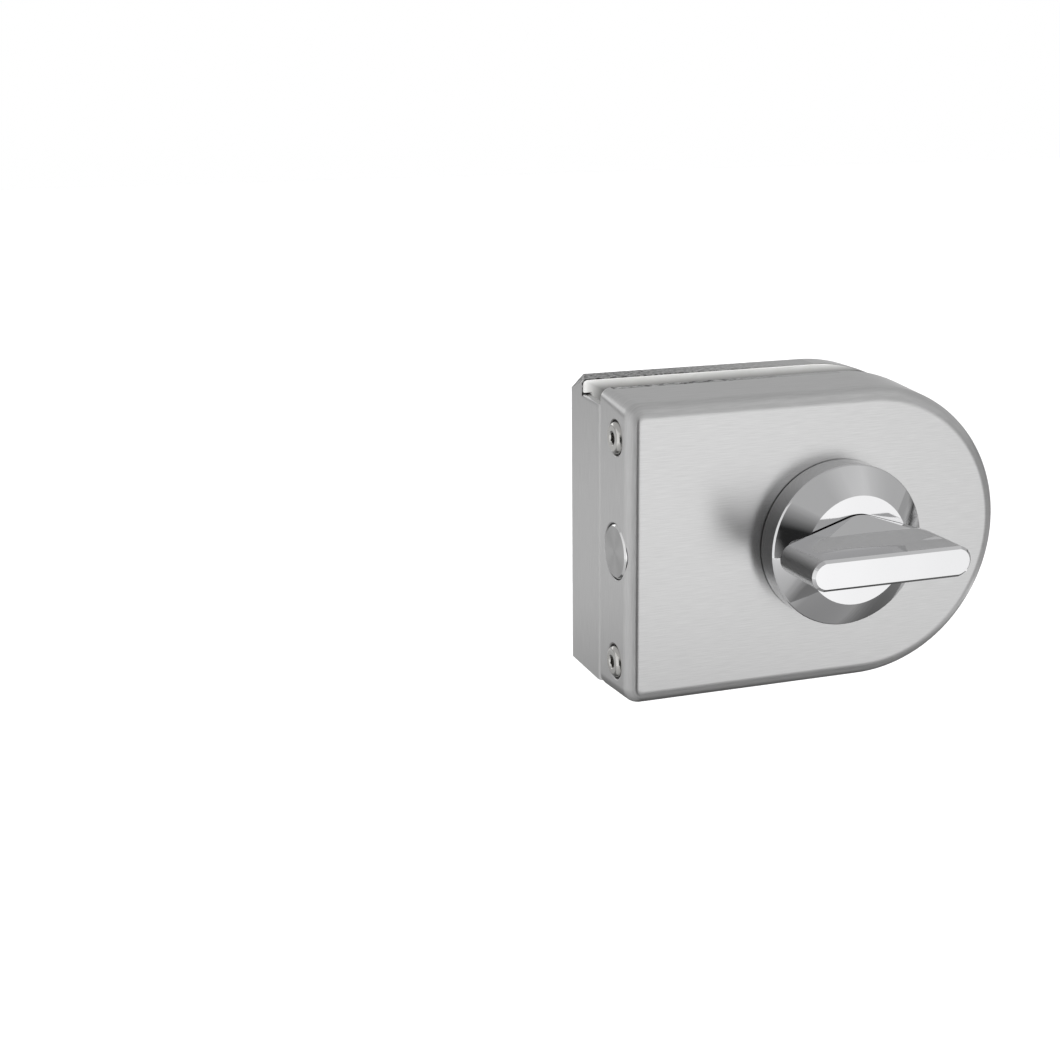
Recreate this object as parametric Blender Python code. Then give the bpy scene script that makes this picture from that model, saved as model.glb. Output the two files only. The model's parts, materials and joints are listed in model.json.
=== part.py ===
"""Glass door lock: the lock case of a frameless glass door, with a thumb turn that throws a round bolt.

Design frame, in metres: x runs right from the lock edge, y runs back from the cover's front face, z runs
up from mid height. The empty lock_frame stands the lock on its flat lower side, with its base at z = 0.
"""

import math

import bmesh
import bpy

mm = 0.001

# Outline: flat lock edge on the left, full round end on the right
lock_width = 91.2 * mm
lock_height = 68.4 * mm
corner_radius = 3.8 * mm
clearance = 0.3 * mm

# Front cover, pressed sheet
cover_sheet = 1.2 * mm
cover_draft = 1.2 * mm
cover_fillet = 3.8 * mm
spindle_hole_radius = 5.0 * mm
seat_radius = 3.9 * mm
seat_depth = 1.4 * mm

# Rear cover, pressed sheet, with the flange over the glass edge
glass_slot = 11.6 * mm
rear_depth = 7.4 * mm
rear_sheet = 1.5 * mm
rear_edge_radius = 1.0 * mm
rear_bevel = 3.1 * mm
rim_bevel = 0.6 * mm
flange_edge_radius = 0.9 * mm
flange_taper = 0.7 * mm
seam_gap = 0.15 * mm

# Glass clamp
gasket_thickness = 1.0 * mm
gasket_proud = 0.4 * mm
gasket_inset = 1.2 * mm
rear_gasket_inset = 0.2 * mm
gasket_corner = 1.2 * mm
base_plate_thickness = 5.3 * mm
clamp_screw_radius = 2.5 * mm
clamp_head_radius = 4.25 * mm
clamp_head_height = 5.0 * mm
clamp_head_edge = 0.4 * mm
clamp_socket = 4.0 * mm
clamp_socket_depth = 2.5 * mm
clamp_edge_x = 15.0 * mm
clamp_side_margin = 12.2 * mm
clamp_end_margin = 13.2 * mm
sleeve_radius = 5.0 * mm

# Cover screws in the lock edge
cover_screw_margin = 9.2 * mm
cover_screw_radius = 2.0 * mm
cover_screw_head = 3.6 * mm
cover_screw_height = 2.1 * mm
cover_screw_rim = 0.3 * mm
cover_screw_length = 8.0 * mm
cover_screw_socket = 2.5 * mm
cover_screw_socket_depth = 1.3 * mm

# Rosette
turn_offset = 8.1 * mm
rosette_radius = 18.0 * mm
rosette_side = 5.8 * mm
rosette_height = 10.0 * mm
rosette_flat_radius = 12.1 * mm
rosette_edge = 0.3 * mm
rosette_wall = 2.0 * mm
rosette_boss_radius = 2.4 * mm
rosette_screw_inset = 5.2 * mm
rosette_screw_radius = 1.5 * mm
rosette_screw_length = 6.0 * mm
rosette_head_radius = 2.75 * mm
rosette_head_height = 1.5 * mm
rosette_head_dome = 0.7 * mm
screw_slot_width = 0.7 * mm
screw_slot_depth = 0.7 * mm

# Thumb turn, with what holds it in the rosette
turn_front = 25.2 * mm
turn_length = 37.2 * mm
turn_height = 6.7 * mm
turn_land = 4.7 * mm
turn_edge = 0.6 * mm
turn_scoop = 0.5 * mm
turn_gap = 0.5 * mm
neck_radius = 8.0 * mm
shank_radius = 6.0 * mm
shank_end_length = 2.0 * mm
circlip_thickness = 0.8 * mm
circlip_groove = 0.8 * mm
circlip_radius = 7.8 * mm
washer_radius = 9.0 * mm
washer_thickness = 0.3 * mm
washer_wave = 0.1 * mm
spindle_width = 5.0 * mm
spindle_edge = 0.5 * mm
spindle_depth = 6.5 * mm
grub_radius = 2.0 * mm
grub_length = 2.2 * mm
grub_setback = 4.0 * mm
grub_socket = 2.0 * mm
grub_socket_depth = 1.2 * mm

# Bolt and its tail
bolt_radius = 6.0 * mm
bolt_edge = 0.6 * mm
bolt_hole_radius = 6.2 * mm
bolt_cover_gap = 0.4 * mm
bolt_recess = 0.3 * mm
bolt_throw = 14.0 * mm
bolt_setback = 22.6 * mm
tail_thickness = 3.1 * mm
tail_web = 5.0 * mm
tail_web_height = 3.6 * mm
tail_corner = 4.0 * mm
tail_bar = 3.3 * mm
tail_lug = 3.8 * mm
tail_edge = 1.0 * mm

# Crank
crank_turn = 90.0
pin_radius = 2.0 * mm
pin_play = 0.35 * mm
hub_radius = 7.0 * mm
arm_end_radius = 3.6 * mm
arm_thickness = 2.8 * mm
arm_gap = 0.4 * mm
tail_gap = 0.7 * mm
front_journal = 5.5 * mm
rear_journal = 4.0 * mm

# Case and lid
case_gap = 0.4 * mm
case_wall = 2.4 * mm
case_floor = 2.7 * mm
floor_gap = 0.8 * mm
boss_wall = 2.4 * mm
lid_thickness = 1.5 * mm
lid_corner = 3.0 * mm
lid_margin = 0.8 * mm
lid_reach_left = 11.3 * mm
lid_reach_right = 19.6 * mm
lid_screw_radius = 1.5 * mm
lid_screw_length = 6.5 * mm
lid_socket = 2.0 * mm
lid_socket_depth = 0.9 * mm
post_radius = 3.2 * mm
post_gap = 1.3 * mm
rib_thickness = 1.6 * mm
rib_overhang = 8.0 * mm

# Detent
ball_radius = 1.3 * mm
ball_lift = 0.25 * mm
detent_offset = 4.9 * mm
detent_wall = 1.5 * mm
detent_height = 9.5 * mm
dent_depth = 0.6 * mm
spring_wire = 0.5 * mm
spring_turns = 4.0
detent_screw_length = 2.1 * mm
detent_socket = 1.3 * mm
detent_socket_depth = 1.1 * mm

# Facets
round_steps = 32
corner_steps = 5
hole_steps = 18

# Worked out from the sizes above, first along the outline
half_height = lock_height / 2
round_centre_x = lock_width - half_height
turn_axis_x = round_centre_x - turn_offset
cover_screw_z = half_height - cover_screw_margin
clamp_edge_z = half_height - clamp_side_margin
clamp_end_x = lock_width - clamp_end_margin

crank_radius = bolt_throw / 2 / math.sin(math.radians(crank_turn / 2))
pin_rest_x = bolt_throw / 2
pin_rest_z = crank_radius * math.cos(math.radians(crank_turn / 2))
tail_low = rear_journal + 2 * clearance
notch_top = crank_radius + pin_radius + clearance
tail_top = notch_top + tail_bar
rib_low = tail_top + clearance
detent_top = rib_low + detent_height
ball_x = turn_axis_x - detent_offset

# The stack of pieces from the cover's front face to the rear one
rosette_face_y = -(rosette_height - rosette_wall)
turn_rear_y = -(rosette_height + turn_gap)
rosette_screw_y = cover_sheet + clearance
lid_y = rosette_screw_y + rosette_head_height + clearance
arm_y = lid_y + lid_thickness + arm_gap
arm_end_y = arm_y + arm_thickness
tail_y = arm_end_y + tail_gap
tail_end_y = tail_y + tail_thickness
case_floor_y = tail_end_y + floor_gap
case_rear_y = case_floor_y + case_floor
case_front_y = cover_fillet + case_gap
case_inset = cover_sheet + case_gap
front_gasket_y = case_rear_y + clearance
cover_depth = front_gasket_y + gasket_thickness - gasket_proud
rear_rim_y = cover_depth + glass_slot
rear_y = rear_rim_y + rear_depth
rear_gasket_y = rear_rim_y - clearance - gasket_thickness
base_plate_y = rear_rim_y
flange_half = half_height - rear_bevel
bolt_y = cover_sheet + bolt_cover_gap + bolt_radius

seat_wall = seat_depth + cover_sheet
seat_face = seat_depth - clearance
cover_screw_end = seat_face + cover_screw_length
screw_proud = cover_screw_height - seat_face
bolt_guide_radius = bolt_radius + clearance
bolt_head_end = turn_axis_x - bolt_setback


def material(name, colour, roughness, metallic):
    made = bpy.data.materials.new(name)
    made.use_nodes = True
    shader = made.node_tree.nodes["Principled BSDF"]
    shader.inputs["Base Color"].default_value = (*colour, 1.0)
    shader.inputs["Roughness"].default_value = roughness
    shader.inputs["Metallic"].default_value = metallic
    return made


def empty(name, location, parent=None):
    made = bpy.data.objects.new(name, None)
    made.location = location
    made.parent = parent
    bpy.context.scene.collection.objects.link(made)
    return made


# Outlines: lists of (x, z) or (x, y) points, counter-clockwise

def arc(centre, radius, start, end, steps):
    angles = [math.radians(start + (end - start) * i / steps) for i in range(steps + 1)]
    return [(centre[0] + radius * math.cos(a), centre[1] + radius * math.sin(a)) for a in angles]


def rounded_box(low, high, radius):
    centres = (
        (high[0] - radius, high[1] - radius, 0),
        (low[0] + radius, high[1] - radius, 90),
        (low[0] + radius, low[1] + radius, 180),
        (high[0] - radius, low[1] + radius, 270),
    )
    points = []
    for x, z, start in centres:
        points += arc((x, z), radius, start, start + 90, corner_steps)
    return points


def d_outline(half, inset=0.0, corner=corner_radius):
    """The lock's outline, drawn in by inset, with rounded corners at the lock edge."""
    top = half - inset
    radius = max(corner - inset, 0.4 * mm)
    left = inset + radius
    points = arc((round_centre_x, 0), top, -90, 90, round_steps)
    points += arc((left, top - radius), radius, 90, 180, corner_steps)
    points += arc((left, radius - top), radius, 180, 270, corner_steps)
    return points


def bevelled_d_outline(half, inset, bevel=rear_bevel):
    """The rear cover's outline: its corners at the lock edge are cut off straight."""
    top = half - inset
    cut = bevel - inset * (2 - math.sqrt(2))
    points = arc((round_centre_x, 0), top, -90, 90, round_steps)
    points += [(inset + cut, top), (inset, top - cut), (inset, cut - top), (inset + cut, -top)]
    return points


def half_at(y):
    """Half the cover's height at depth y: the pressed walls flare towards the glass."""
    return half_height - cover_draft * (1 - min(y, cover_depth) / cover_depth)


def rolled_edge(radius, start):
    """Quarter round from a wall to a face, as (inset, depth) pairs that both begin at start."""
    angles = [math.radians(90 * i / corner_steps) for i in range(corner_steps + 1)]
    return [(start + radius * (1 - math.cos(a)), start + radius * (1 - math.sin(a))) for a in angles]


def stadium(half_length, radius, centre_radius, steps):
    """Hull of two end circles and a larger one in the middle, as (u, w) points."""
    reach = half_length - radius
    tilt = math.degrees(math.asin((centre_radius - radius) / reach))
    points = arc((reach, 0), radius, tilt - 90, 90 - tilt, steps)
    points += arc((0, 0), centre_radius, 90 - tilt, 90 + tilt, steps)
    points += arc((-reach, 0), radius, 90 + tilt, 270 - tilt, steps)
    points += arc((0, 0), centre_radius, 270 - tilt, 270 + tilt, steps)
    return points


# Shapes: each returns a bmesh with one closed body

def closed(shape):
    bmesh.ops.remove_doubles(shape, verts=shape.verts, dist=0.001 * mm)
    bmesh.ops.connect_verts_nonplanar(shape, angle_limit=0.0001, faces=shape.faces)
    bmesh.ops.recalc_face_normals(shape, faces=shape.faces)
    return shape


def loft(loops):
    """Skin over loops of equal length, capped at both ends."""
    shape = bmesh.new()
    rings = [[shape.verts.new(point) for point in loop] for loop in loops]
    for low, high in zip(rings, rings[1:]):
        for i in range(len(low)):
            shape.faces.new((low[i - 1], low[i], high[i], high[i - 1]))
    shape.faces.new(rings[0])
    shape.faces.new(rings[-1])
    return closed(shape)


def along_y(outline, y):
    return [(x, y, z) for x, z in outline]


def prism(outline, y_start, y_end):
    return loft([along_y(outline, y_start), along_y(outline, y_end)])


def flared(inset, y_start, y_end, corner=corner_radius):
    """D-shaped block that follows the cover's flaring walls."""
    ends = (y_start, y_end)
    return loft([along_y(d_outline(half_at(y), inset, corner), y) for y in ends])


def turned(profile, axis, centre=(0.0, 0.0), steps=hole_steps, ring=False):
    """Profile of (radius, place along the axis) spun about an axis parallel to X, Y or Z.

    Its two ends are closed by flat faces, or joined to each other to make a ring.
    """
    directions = {
        "X": ((1, 0, 0), (0, 1, 0), (0, centre[0], centre[1])),
        "Y": ((0, 1, 0), (1, 0, 0), (centre[0], 0, centre[1])),
        "Z": ((0, 0, 1), (1, 0, 0), (centre[0], centre[1], 0)),
    }
    along, outward, middle = directions[axis]
    shape = bmesh.new()
    points = [
        [middle[k] + along[k] * place + outward[k] * radius for k in range(3)]
        for radius, place in profile
    ]
    verts = [shape.verts.new(point) for point in points]
    edges = [shape.edges.new(pair) for pair in zip(verts, verts[1:])]
    if ring:
        edges.append(shape.edges.new((verts[-1], verts[0])))
    bmesh.ops.spin(
        shape, geom=verts + edges, cent=middle, axis=along, dvec=(0, 0, 0),
        angle=2 * math.pi, steps=steps, use_merge=True, use_duplicate=False,
    )
    bmesh.ops.remove_doubles(shape, verts=shape.verts, dist=0.001 * mm)
    bmesh.ops.holes_fill(shape, edges=shape.edges, sides=0)
    return closed(shape)


def rod(radius, start, end, axis, centre=(0.0, 0.0), steps=hole_steps):
    return turned([(radius, start), (radius, end)], axis, centre, steps)


def tube(outer, inner, start, end, axis, centre=(0.0, 0.0), steps=hole_steps):
    profile = [(inner, start), (outer, start), (outer, end), (inner, end)]
    return turned(profile, axis, centre, steps, ring=True)


def block(low, high):
    outline = [(low[0], low[2]), (high[0], low[2]), (high[0], high[2]), (low[0], high[2])]
    return prism(outline, low[1], high[1])


def hexagon(width, start, end, axis, centre=(0.0, 0.0)):
    """Hexagonal socket, as wide across its flats as the key."""
    return rod(width / math.sqrt(3), start, end, axis, centre, steps=6)


# Objects

def add_object(name, shapes, finish, parent):
    merged = bmesh.new()
    for shape in shapes:
        part_mesh = bpy.data.meshes.new(name)
        shape.to_mesh(part_mesh)
        merged.from_mesh(part_mesh)
        bpy.data.meshes.remove(part_mesh)
        shape.free()
    mesh = bpy.data.meshes.new(name)
    merged.to_mesh(mesh)
    merged.free()
    mesh.shade_smooth()
    mesh.set_sharp_from_angle(angle=math.radians(30))
    if finish:
        mesh.materials.append(finish)
    made = bpy.data.objects.new(name, mesh)
    made.parent = parent
    bpy.context.scene.collection.objects.link(made)
    return made


def boolean(target, name, shapes, operation):
    """Cuts shapes out of the target, or joins them to it, by a modifier that stays live."""
    tool = add_object(f"{target.name}_{name}", shapes, None, target.parent)
    tool.hide_render = True
    tool.display_type = "WIRE"
    modifier = target.modifiers.new(name, "BOOLEAN")
    modifier.operation = operation
    modifier.object = tool


def cut(target, name, *shapes):
    boolean(target, name, shapes, "DIFFERENCE")


def join(target, name, *shapes):
    boolean(target, name, shapes, "UNION")


for old in list(bpy.data.objects):
    bpy.data.objects.remove(old)

brushed_steel = material("brushed stainless", (0.62, 0.62, 0.62), 0.35, 1.0)
chrome = material("polished chrome", (0.75, 0.75, 0.76), 0.06, 1.0)
turned_steel = material("turned stainless", (0.62, 0.62, 0.63), 0.28, 1.0)
zinc = material("zinc die casting", (0.42, 0.43, 0.44), 0.5, 1.0)
plated_steel = material("zinc plated steel", (0.56, 0.57, 0.58), 0.3, 1.0)
white_pvc = material("white soft PVC", (0.82, 0.82, 0.81), 0.5, 0.0)
nylon = material("natural nylon", (0.75, 0.74, 0.70), 0.45, 0.0)

lock_frame = empty(
    "lock_frame",
    ((screw_proud - lock_width) / 2, (turn_front - rear_y) / 2, half_height),
)
rosette_centre = empty("rosette_centre", (turn_axis_x, 0, 0), lock_frame)
turn_axis = empty("turn_axis", (turn_axis_x, 0, 0), lock_frame)
bolt_axis = empty("bolt_axis", (0, bolt_y, 0), lock_frame)

clamp_places = (
    (clamp_edge_x, clamp_edge_z),
    (clamp_edge_x, -clamp_edge_z),
    (clamp_end_x, 0.0),
)
clamp_bore = clamp_screw_radius + clearance
sleeve_bore = sleeve_radius + clearance
edge_screws = (("upper", cover_screw_z), ("lower", -cover_screw_z))
rosette_angles = (90, 210, 330)


def rosette_screw_place(angle):
    turn = math.radians(angle)
    pitch = rosette_radius - rosette_screw_inset
    return turn_axis_x + pitch * math.cos(turn), pitch * math.sin(turn)


def build_front_cover():
    """Deep pressed shell. Its walls flare to the rim, and the front edge is rolled over."""
    inner_fillet = cover_fillet - cover_sheet
    outer = rolled_edge(cover_fillet, 0.0)
    inner = rolled_edge(inner_fillet, cover_sheet)
    path = outer[::-1] + [(0.0, cover_depth), (cover_sheet, cover_depth)] + inner
    loops = [along_y(d_outline(half_at(y), inset), y) for inset, y in path]
    cover = add_object("front_cover", [loft(loops)], brushed_steel, lock_frame)

    boss = seat_radius + cover_sheet
    seats = [rod(boss, cover_sheet / 2, seat_wall, "X", (bolt_y, z)) for _, z in edge_screws]
    join(cover, "seats", *seats)
    recesses = [rod(seat_radius, -seat_depth, seat_depth, "X", (bolt_y, z)) for _, z in edge_screws]
    cut(cover, "recesses", *recesses)
    bore = cover_screw_radius + clearance
    cut(cover, "screw_holes", *[rod(bore, 0, 2 * seat_wall, "X", (bolt_y, z)) for _, z in edge_screws])
    hole = rod(bolt_hole_radius, -cover_sheet, cover_fillet, "X", (bolt_y, 0), 48)
    cut(cover, "bolt_hole", hole)
    hole = rod(spindle_hole_radius, -cover_sheet, 2 * cover_sheet, "Y", (turn_axis_x, 0))
    cut(cover, "spindle_hole", hole)
    bore = rosette_screw_radius + clearance
    for number, angle in enumerate(rosette_angles, 1):
        hole = rod(bore, -cover_sheet, 2 * cover_sheet, "Y", rosette_screw_place(angle))
        cut(cover, f"rosette_hole_{number}", hole)


def build_cover_screws():
    """Button head screws: the dome stands proud of its dished seat, with a hex socket."""
    top = seat_face - cover_screw_height
    rim = seat_face - cover_screw_rim
    angles = [math.radians(15 * i) for i in range(5)]
    dome = [(cover_screw_head * math.cos(a), rim - (rim - top) * math.sin(a)) for a in angles]
    profile = [(0.75 * dome[-1][0], top)] + dome[::-1]
    profile += [(cover_screw_head, seat_face), (cover_screw_radius, seat_face)]
    profile.append((cover_screw_radius, cover_screw_end))
    for name, z in edge_screws:
        shape = turned(profile, "X", (bolt_y, z), 24)
        screw = add_object(f"cover_screw_{name}", [shape], plated_steel, lock_frame)
        socket_end = top + cover_screw_socket_depth
        cut(screw, "socket", hexagon(cover_screw_socket, top - mm, socket_end, "X", (bolt_y, z)))


def build_rear_cover():
    """Shallow pressed tray, with a flange bent forward over the edge of the glass."""
    path = [(rear_sheet, rear_y - rear_sheet, rear_bevel), (rear_sheet, rear_rim_y, rear_bevel)]
    path.append((0.0, rear_rim_y, rim_bevel))
    for inset, depth in rolled_edge(rear_edge_radius, 0.0):
        path.append((inset, rear_y - depth, rear_bevel))
    loops = [along_y(bevelled_d_outline(half_height, inset, bevel), y) for inset, y, bevel in path]
    tray = add_object("rear_cover", [loft(loops)], brushed_steel, lock_frame)

    front = cover_depth + seam_gap
    root = rear_rim_y + rear_sheet
    centre = (flange_edge_radius, front + flange_edge_radius)
    bend = [(0.0, root)] + arc(centre, flange_edge_radius, 180, 270, corner_steps)
    bend += [(rear_sheet, front), (rear_sheet, root)]
    slope = flange_taper / (root - front)
    ends = []
    for side in (-1, 1):
        ends.append([(x, y, side * (flange_half - slope * (root - y))) for x, y in bend])
    join(tray, "flange", loft(ends))


def build_rosette():
    """Hollow rose: short round side, a cone, and a flat ring that the turn's neck stands on."""
    slope = (rosette_height - rosette_side) / (rosette_radius - rosette_flat_radius)
    inside = rosette_radius - rosette_wall
    shoulder = rosette_flat_radius - rosette_wall / 2
    bore = shank_radius + clearance
    profile = [
        (rosette_radius, -clearance),
        (rosette_radius, -rosette_side + rosette_edge),
        (rosette_radius - rosette_edge, -rosette_side - rosette_edge * slope),
        (rosette_flat_radius, -rosette_height),
        (bore, -rosette_height),
        (bore, rosette_face_y),
        (shoulder, rosette_face_y),
        (inside, rosette_face_y + (inside - shoulder) * slope),
        (inside, -clearance),
    ]
    shape = turned(profile, "Y", steps=64, ring=True)
    rose = add_object("rosette", [shape], chrome, rosette_centre)
    places = [(x - turn_axis_x, z) for x, z in map(rosette_screw_place, rosette_angles)]
    root = rosette_face_y + rosette_wall / 4
    bosses = [rod(rosette_boss_radius, root, -clearance, "Y", place) for place in places]
    join(rose, "bosses", *bosses)
    bore = rosette_screw_radius + clearance
    depth = clearance + rosette_screw_length - rosette_screw_y
    cut(rose, "boss_holes", *[rod(bore, -depth, mm, "Y", place, 16) for place in places])


def build_rosette_screws():
    tip = rosette_screw_y - rosette_screw_length
    top = rosette_screw_y + rosette_head_height
    profile = [
        (rosette_screw_radius, tip),
        (rosette_screw_radius, rosette_screw_y),
        (rosette_head_radius, rosette_screw_y),
        (rosette_head_radius, top - rosette_head_dome),
        (0.8 * rosette_head_radius, top),
    ]
    half_slot = screw_slot_width / 2
    for number, angle in enumerate(rosette_angles, 1):
        x, z = rosette_screw_place(angle)
        shape = turned(profile, "Y", (x, z))
        screw = add_object(f"rosette_screw_{number}", [shape], plated_steel, lock_frame)
        low = (x - rosette_head_radius, top - screw_slot_depth, z - half_slot)
        high = (x + rosette_head_radius, top + mm, z + half_slot)
        cut(screw, "slot", block(low, high))


def build_thumb_turn():
    """Cast bar with round ends, hipped to the neck. A scoop leaves a front land above and below."""
    end_radius = turn_height / 2
    land_y = turn_land - turn_front
    loops = []
    for y, inset in ((-turn_front, turn_edge), (turn_edge - turn_front, 0.0), (turn_rear_y, 0.0)):
        outline = stadium(turn_length / 2 - inset, end_radius - inset, neck_radius - inset, 10)
        loops.append(along_y(outline, y))
    turn = add_object("thumb_turn", [loft(loops)], chrome, turn_axis)

    start = (land_y, end_radius)
    end = (turn_rear_y, neck_radius)
    profile = [(-turn_front - mm, end_radius - turn_edge - mm), (turn_edge - turn_front, end_radius)]
    scoop_steps = 8
    for i in range(scoop_steps + 1):
        share = i / scoop_steps
        sag = 4 * turn_scoop * share * (1 - share)
        y = start[0] + (end[0] - start[0]) * share
        profile.append((y, start[1] + (end[1] - start[1]) * share - sag))
    above = neck_radius + mm
    profile += [(turn_rear_y + mm, above), (-turn_front - mm, above)]
    reach = turn_length
    scoops = []
    for side in (-1, 1):
        scoops.append(loft([[(x, y, side * z) for y, z in profile] for x in (-reach, reach)]))
    cut(turn, "scoops", *scoops)

    groove_y = rosette_face_y + washer_thickness + 3 * clearance
    groove_end = groove_y + circlip_thickness + clearance
    shank_end = groove_end + shank_end_length
    groove_radius = shank_radius - circlip_groove
    shank = [
        (shank_radius, turn_rear_y - mm),
        (shank_radius, groove_y),
        (groove_radius, groove_y),
        (groove_radius, groove_end),
        (shank_radius, groove_end),
        (shank_radius, shank_end),
    ]
    join(turn, "shank", turned(shank, "Y", steps=32))
    room = spindle_width / 2 + clearance
    spindle_start = spindle_depth - turn_front
    socket = block((-room, spindle_start - clearance, -room), (room, shank_end + mm, room))
    cut(turn, "spindle_socket", socket)
    grub_y = land_y + grub_setback
    cut(turn, "grub_hole", rod(grub_radius + clearance, -2 * neck_radius, 0.0, "Z", (0.0, grub_y)))

    half = spindle_width / 2
    outline = rounded_box((-half, -half), (half, half), spindle_edge)
    bar = prism(outline, spindle_start, arm_end_y - clearance)
    add_object("spindle", [bar], plated_steel, turn_axis)
    top = -half - clearance
    shape = rod(grub_radius, top - grub_length, top, "Z", (0.0, grub_y))
    grub = add_object("turn_grub_screw", [shape], plated_steel, turn_axis)
    socket_end = top - grub_length + grub_socket_depth
    socket = hexagon(grub_socket, top - grub_length - mm, socket_end, "Z", (0.0, grub_y))
    cut(grub, "socket", socket)

    clip = arc((0, 0), circlip_radius, 125, 415, 30)
    clip += arc((0, 0), groove_radius + clearance, 415, 125, 30)
    clip_y = groove_y + clearance / 2
    ring = prism(clip, clip_y, clip_y + circlip_thickness)
    add_object("turn_circlip", [ring], plated_steel, turn_axis)


def build_wave_washer():
    """Spring washer between the rosette's inner face and the circlip, in three waves."""
    middle_y = rosette_face_y + clearance + washer_wave
    inner = shank_radius + clearance
    steps = 36
    washer = bmesh.new()
    rings = []
    for i in range(steps):
        a = 2 * math.pi * i / steps
        low = middle_y + washer_wave * math.sin(3 * a)
        high = low + washer_thickness
        corners = ((inner, low), (washer_radius, low), (washer_radius, high), (inner, high))
        rings.append([washer.verts.new((r * math.cos(a), y, r * math.sin(a))) for r, y in corners])
    for ring, following in zip(rings, rings[1:] + rings[:1]):
        for i in range(4):
            washer.faces.new((ring[i - 1], ring[i], following[i], following[i - 1]))
    add_object("wave_washer", [closed(washer)], plated_steel, rosette_centre)


def build_crank():
    """Hub with a crank arm. At rest the arm leans away from the lock edge by half the turn."""
    lean = 90 - crank_turn / 2
    spread = math.degrees(math.asin((hub_radius - arm_end_radius) / crank_radius))
    pin = (pin_rest_x, pin_rest_z)
    outline = arc(pin, arm_end_radius, lean - 90 + spread, lean + 90 - spread, 12)
    outline += arc((0, 0), hub_radius, lean + 90 - spread, lean + 270 + spread, 30)
    hub = add_object("crank_hub", [prism(outline, arm_y, arm_end_y)], zinc, turn_axis)
    join(hub, "front_journal", rod(front_journal, lid_y + clearance, arm_y + mm, "Y", steps=32))
    join(hub, "rear_journal", rod(rear_journal, arm_end_y - mm, case_rear_y - clearance, "Y"))
    room = spindle_width / 2 + clearance
    cut(hub, "socket", block((-room, 0.0, -room), (room, arm_end_y, room)))
    cut(hub, "pin_hole", rod(pin_radius + clearance, 0.0, case_rear_y, "Y", pin))
    add_object("drive_pin", [rod(pin_radius, arm_y, tail_end_y, "Y", pin)], plated_steel, turn_axis)


def build_bolt():
    """Round head, turned face, and a flat tail with a notch for the drive pin on its lower edge."""
    head = [
        (bolt_radius - bolt_edge, bolt_recess),
        (bolt_radius, bolt_recess + bolt_edge),
        (bolt_radius, bolt_head_end),
    ]
    bolt = add_object("bolt", [turned(head, "X", steps=48)], turned_steel, bolt_axis)

    notch = pin_radius + pin_play
    notch_x = turn_axis_x + pin_rest_x
    tail_end_x = notch_x + notch + tail_lug
    web_start = bolt_head_end - tail_web
    web_end = bolt_head_end + tail_web
    tail = [
        (web_start, -tail_web_height),
        (web_end - tail_edge, -tail_web_height),
        (web_end + tail_edge, tail_low),
        (notch_x - notch, tail_low),
        (notch_x - notch, notch_top),
        (notch_x + notch, notch_top),
        (notch_x + notch, tail_low),
        (tail_end_x, tail_low),
        (tail_end_x, tail_top - tail_edge),
        (tail_end_x - tail_edge, tail_top),
        (web_start + tail_corner, tail_top),
        (web_start, tail_top - tail_corner),
    ]
    start = tail_y - bolt_y
    end = tail_end_y - bolt_y
    join(bolt, "tail", prism(tail, start, end))
    dents = []
    for x in (ball_x, ball_x + bolt_throw):
        dent = [(x - 2 * dent_depth, tail_top + dent_depth), (x, tail_top - dent_depth)]
        dent.append((x + 2 * dent_depth, tail_top + dent_depth))
        dents.append(prism(dent, start - mm, end + mm))
    cut(bolt, "detents", *dents)


def lid_screw_places():
    low = -(hub_radius + post_radius + post_gap)
    high = rib_low + post_radius
    sides = (turn_axis_x - lid_reach_left, turn_axis_x + lid_reach_right)
    return [(x, z) for x in sides for z in (low, high)]


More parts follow.
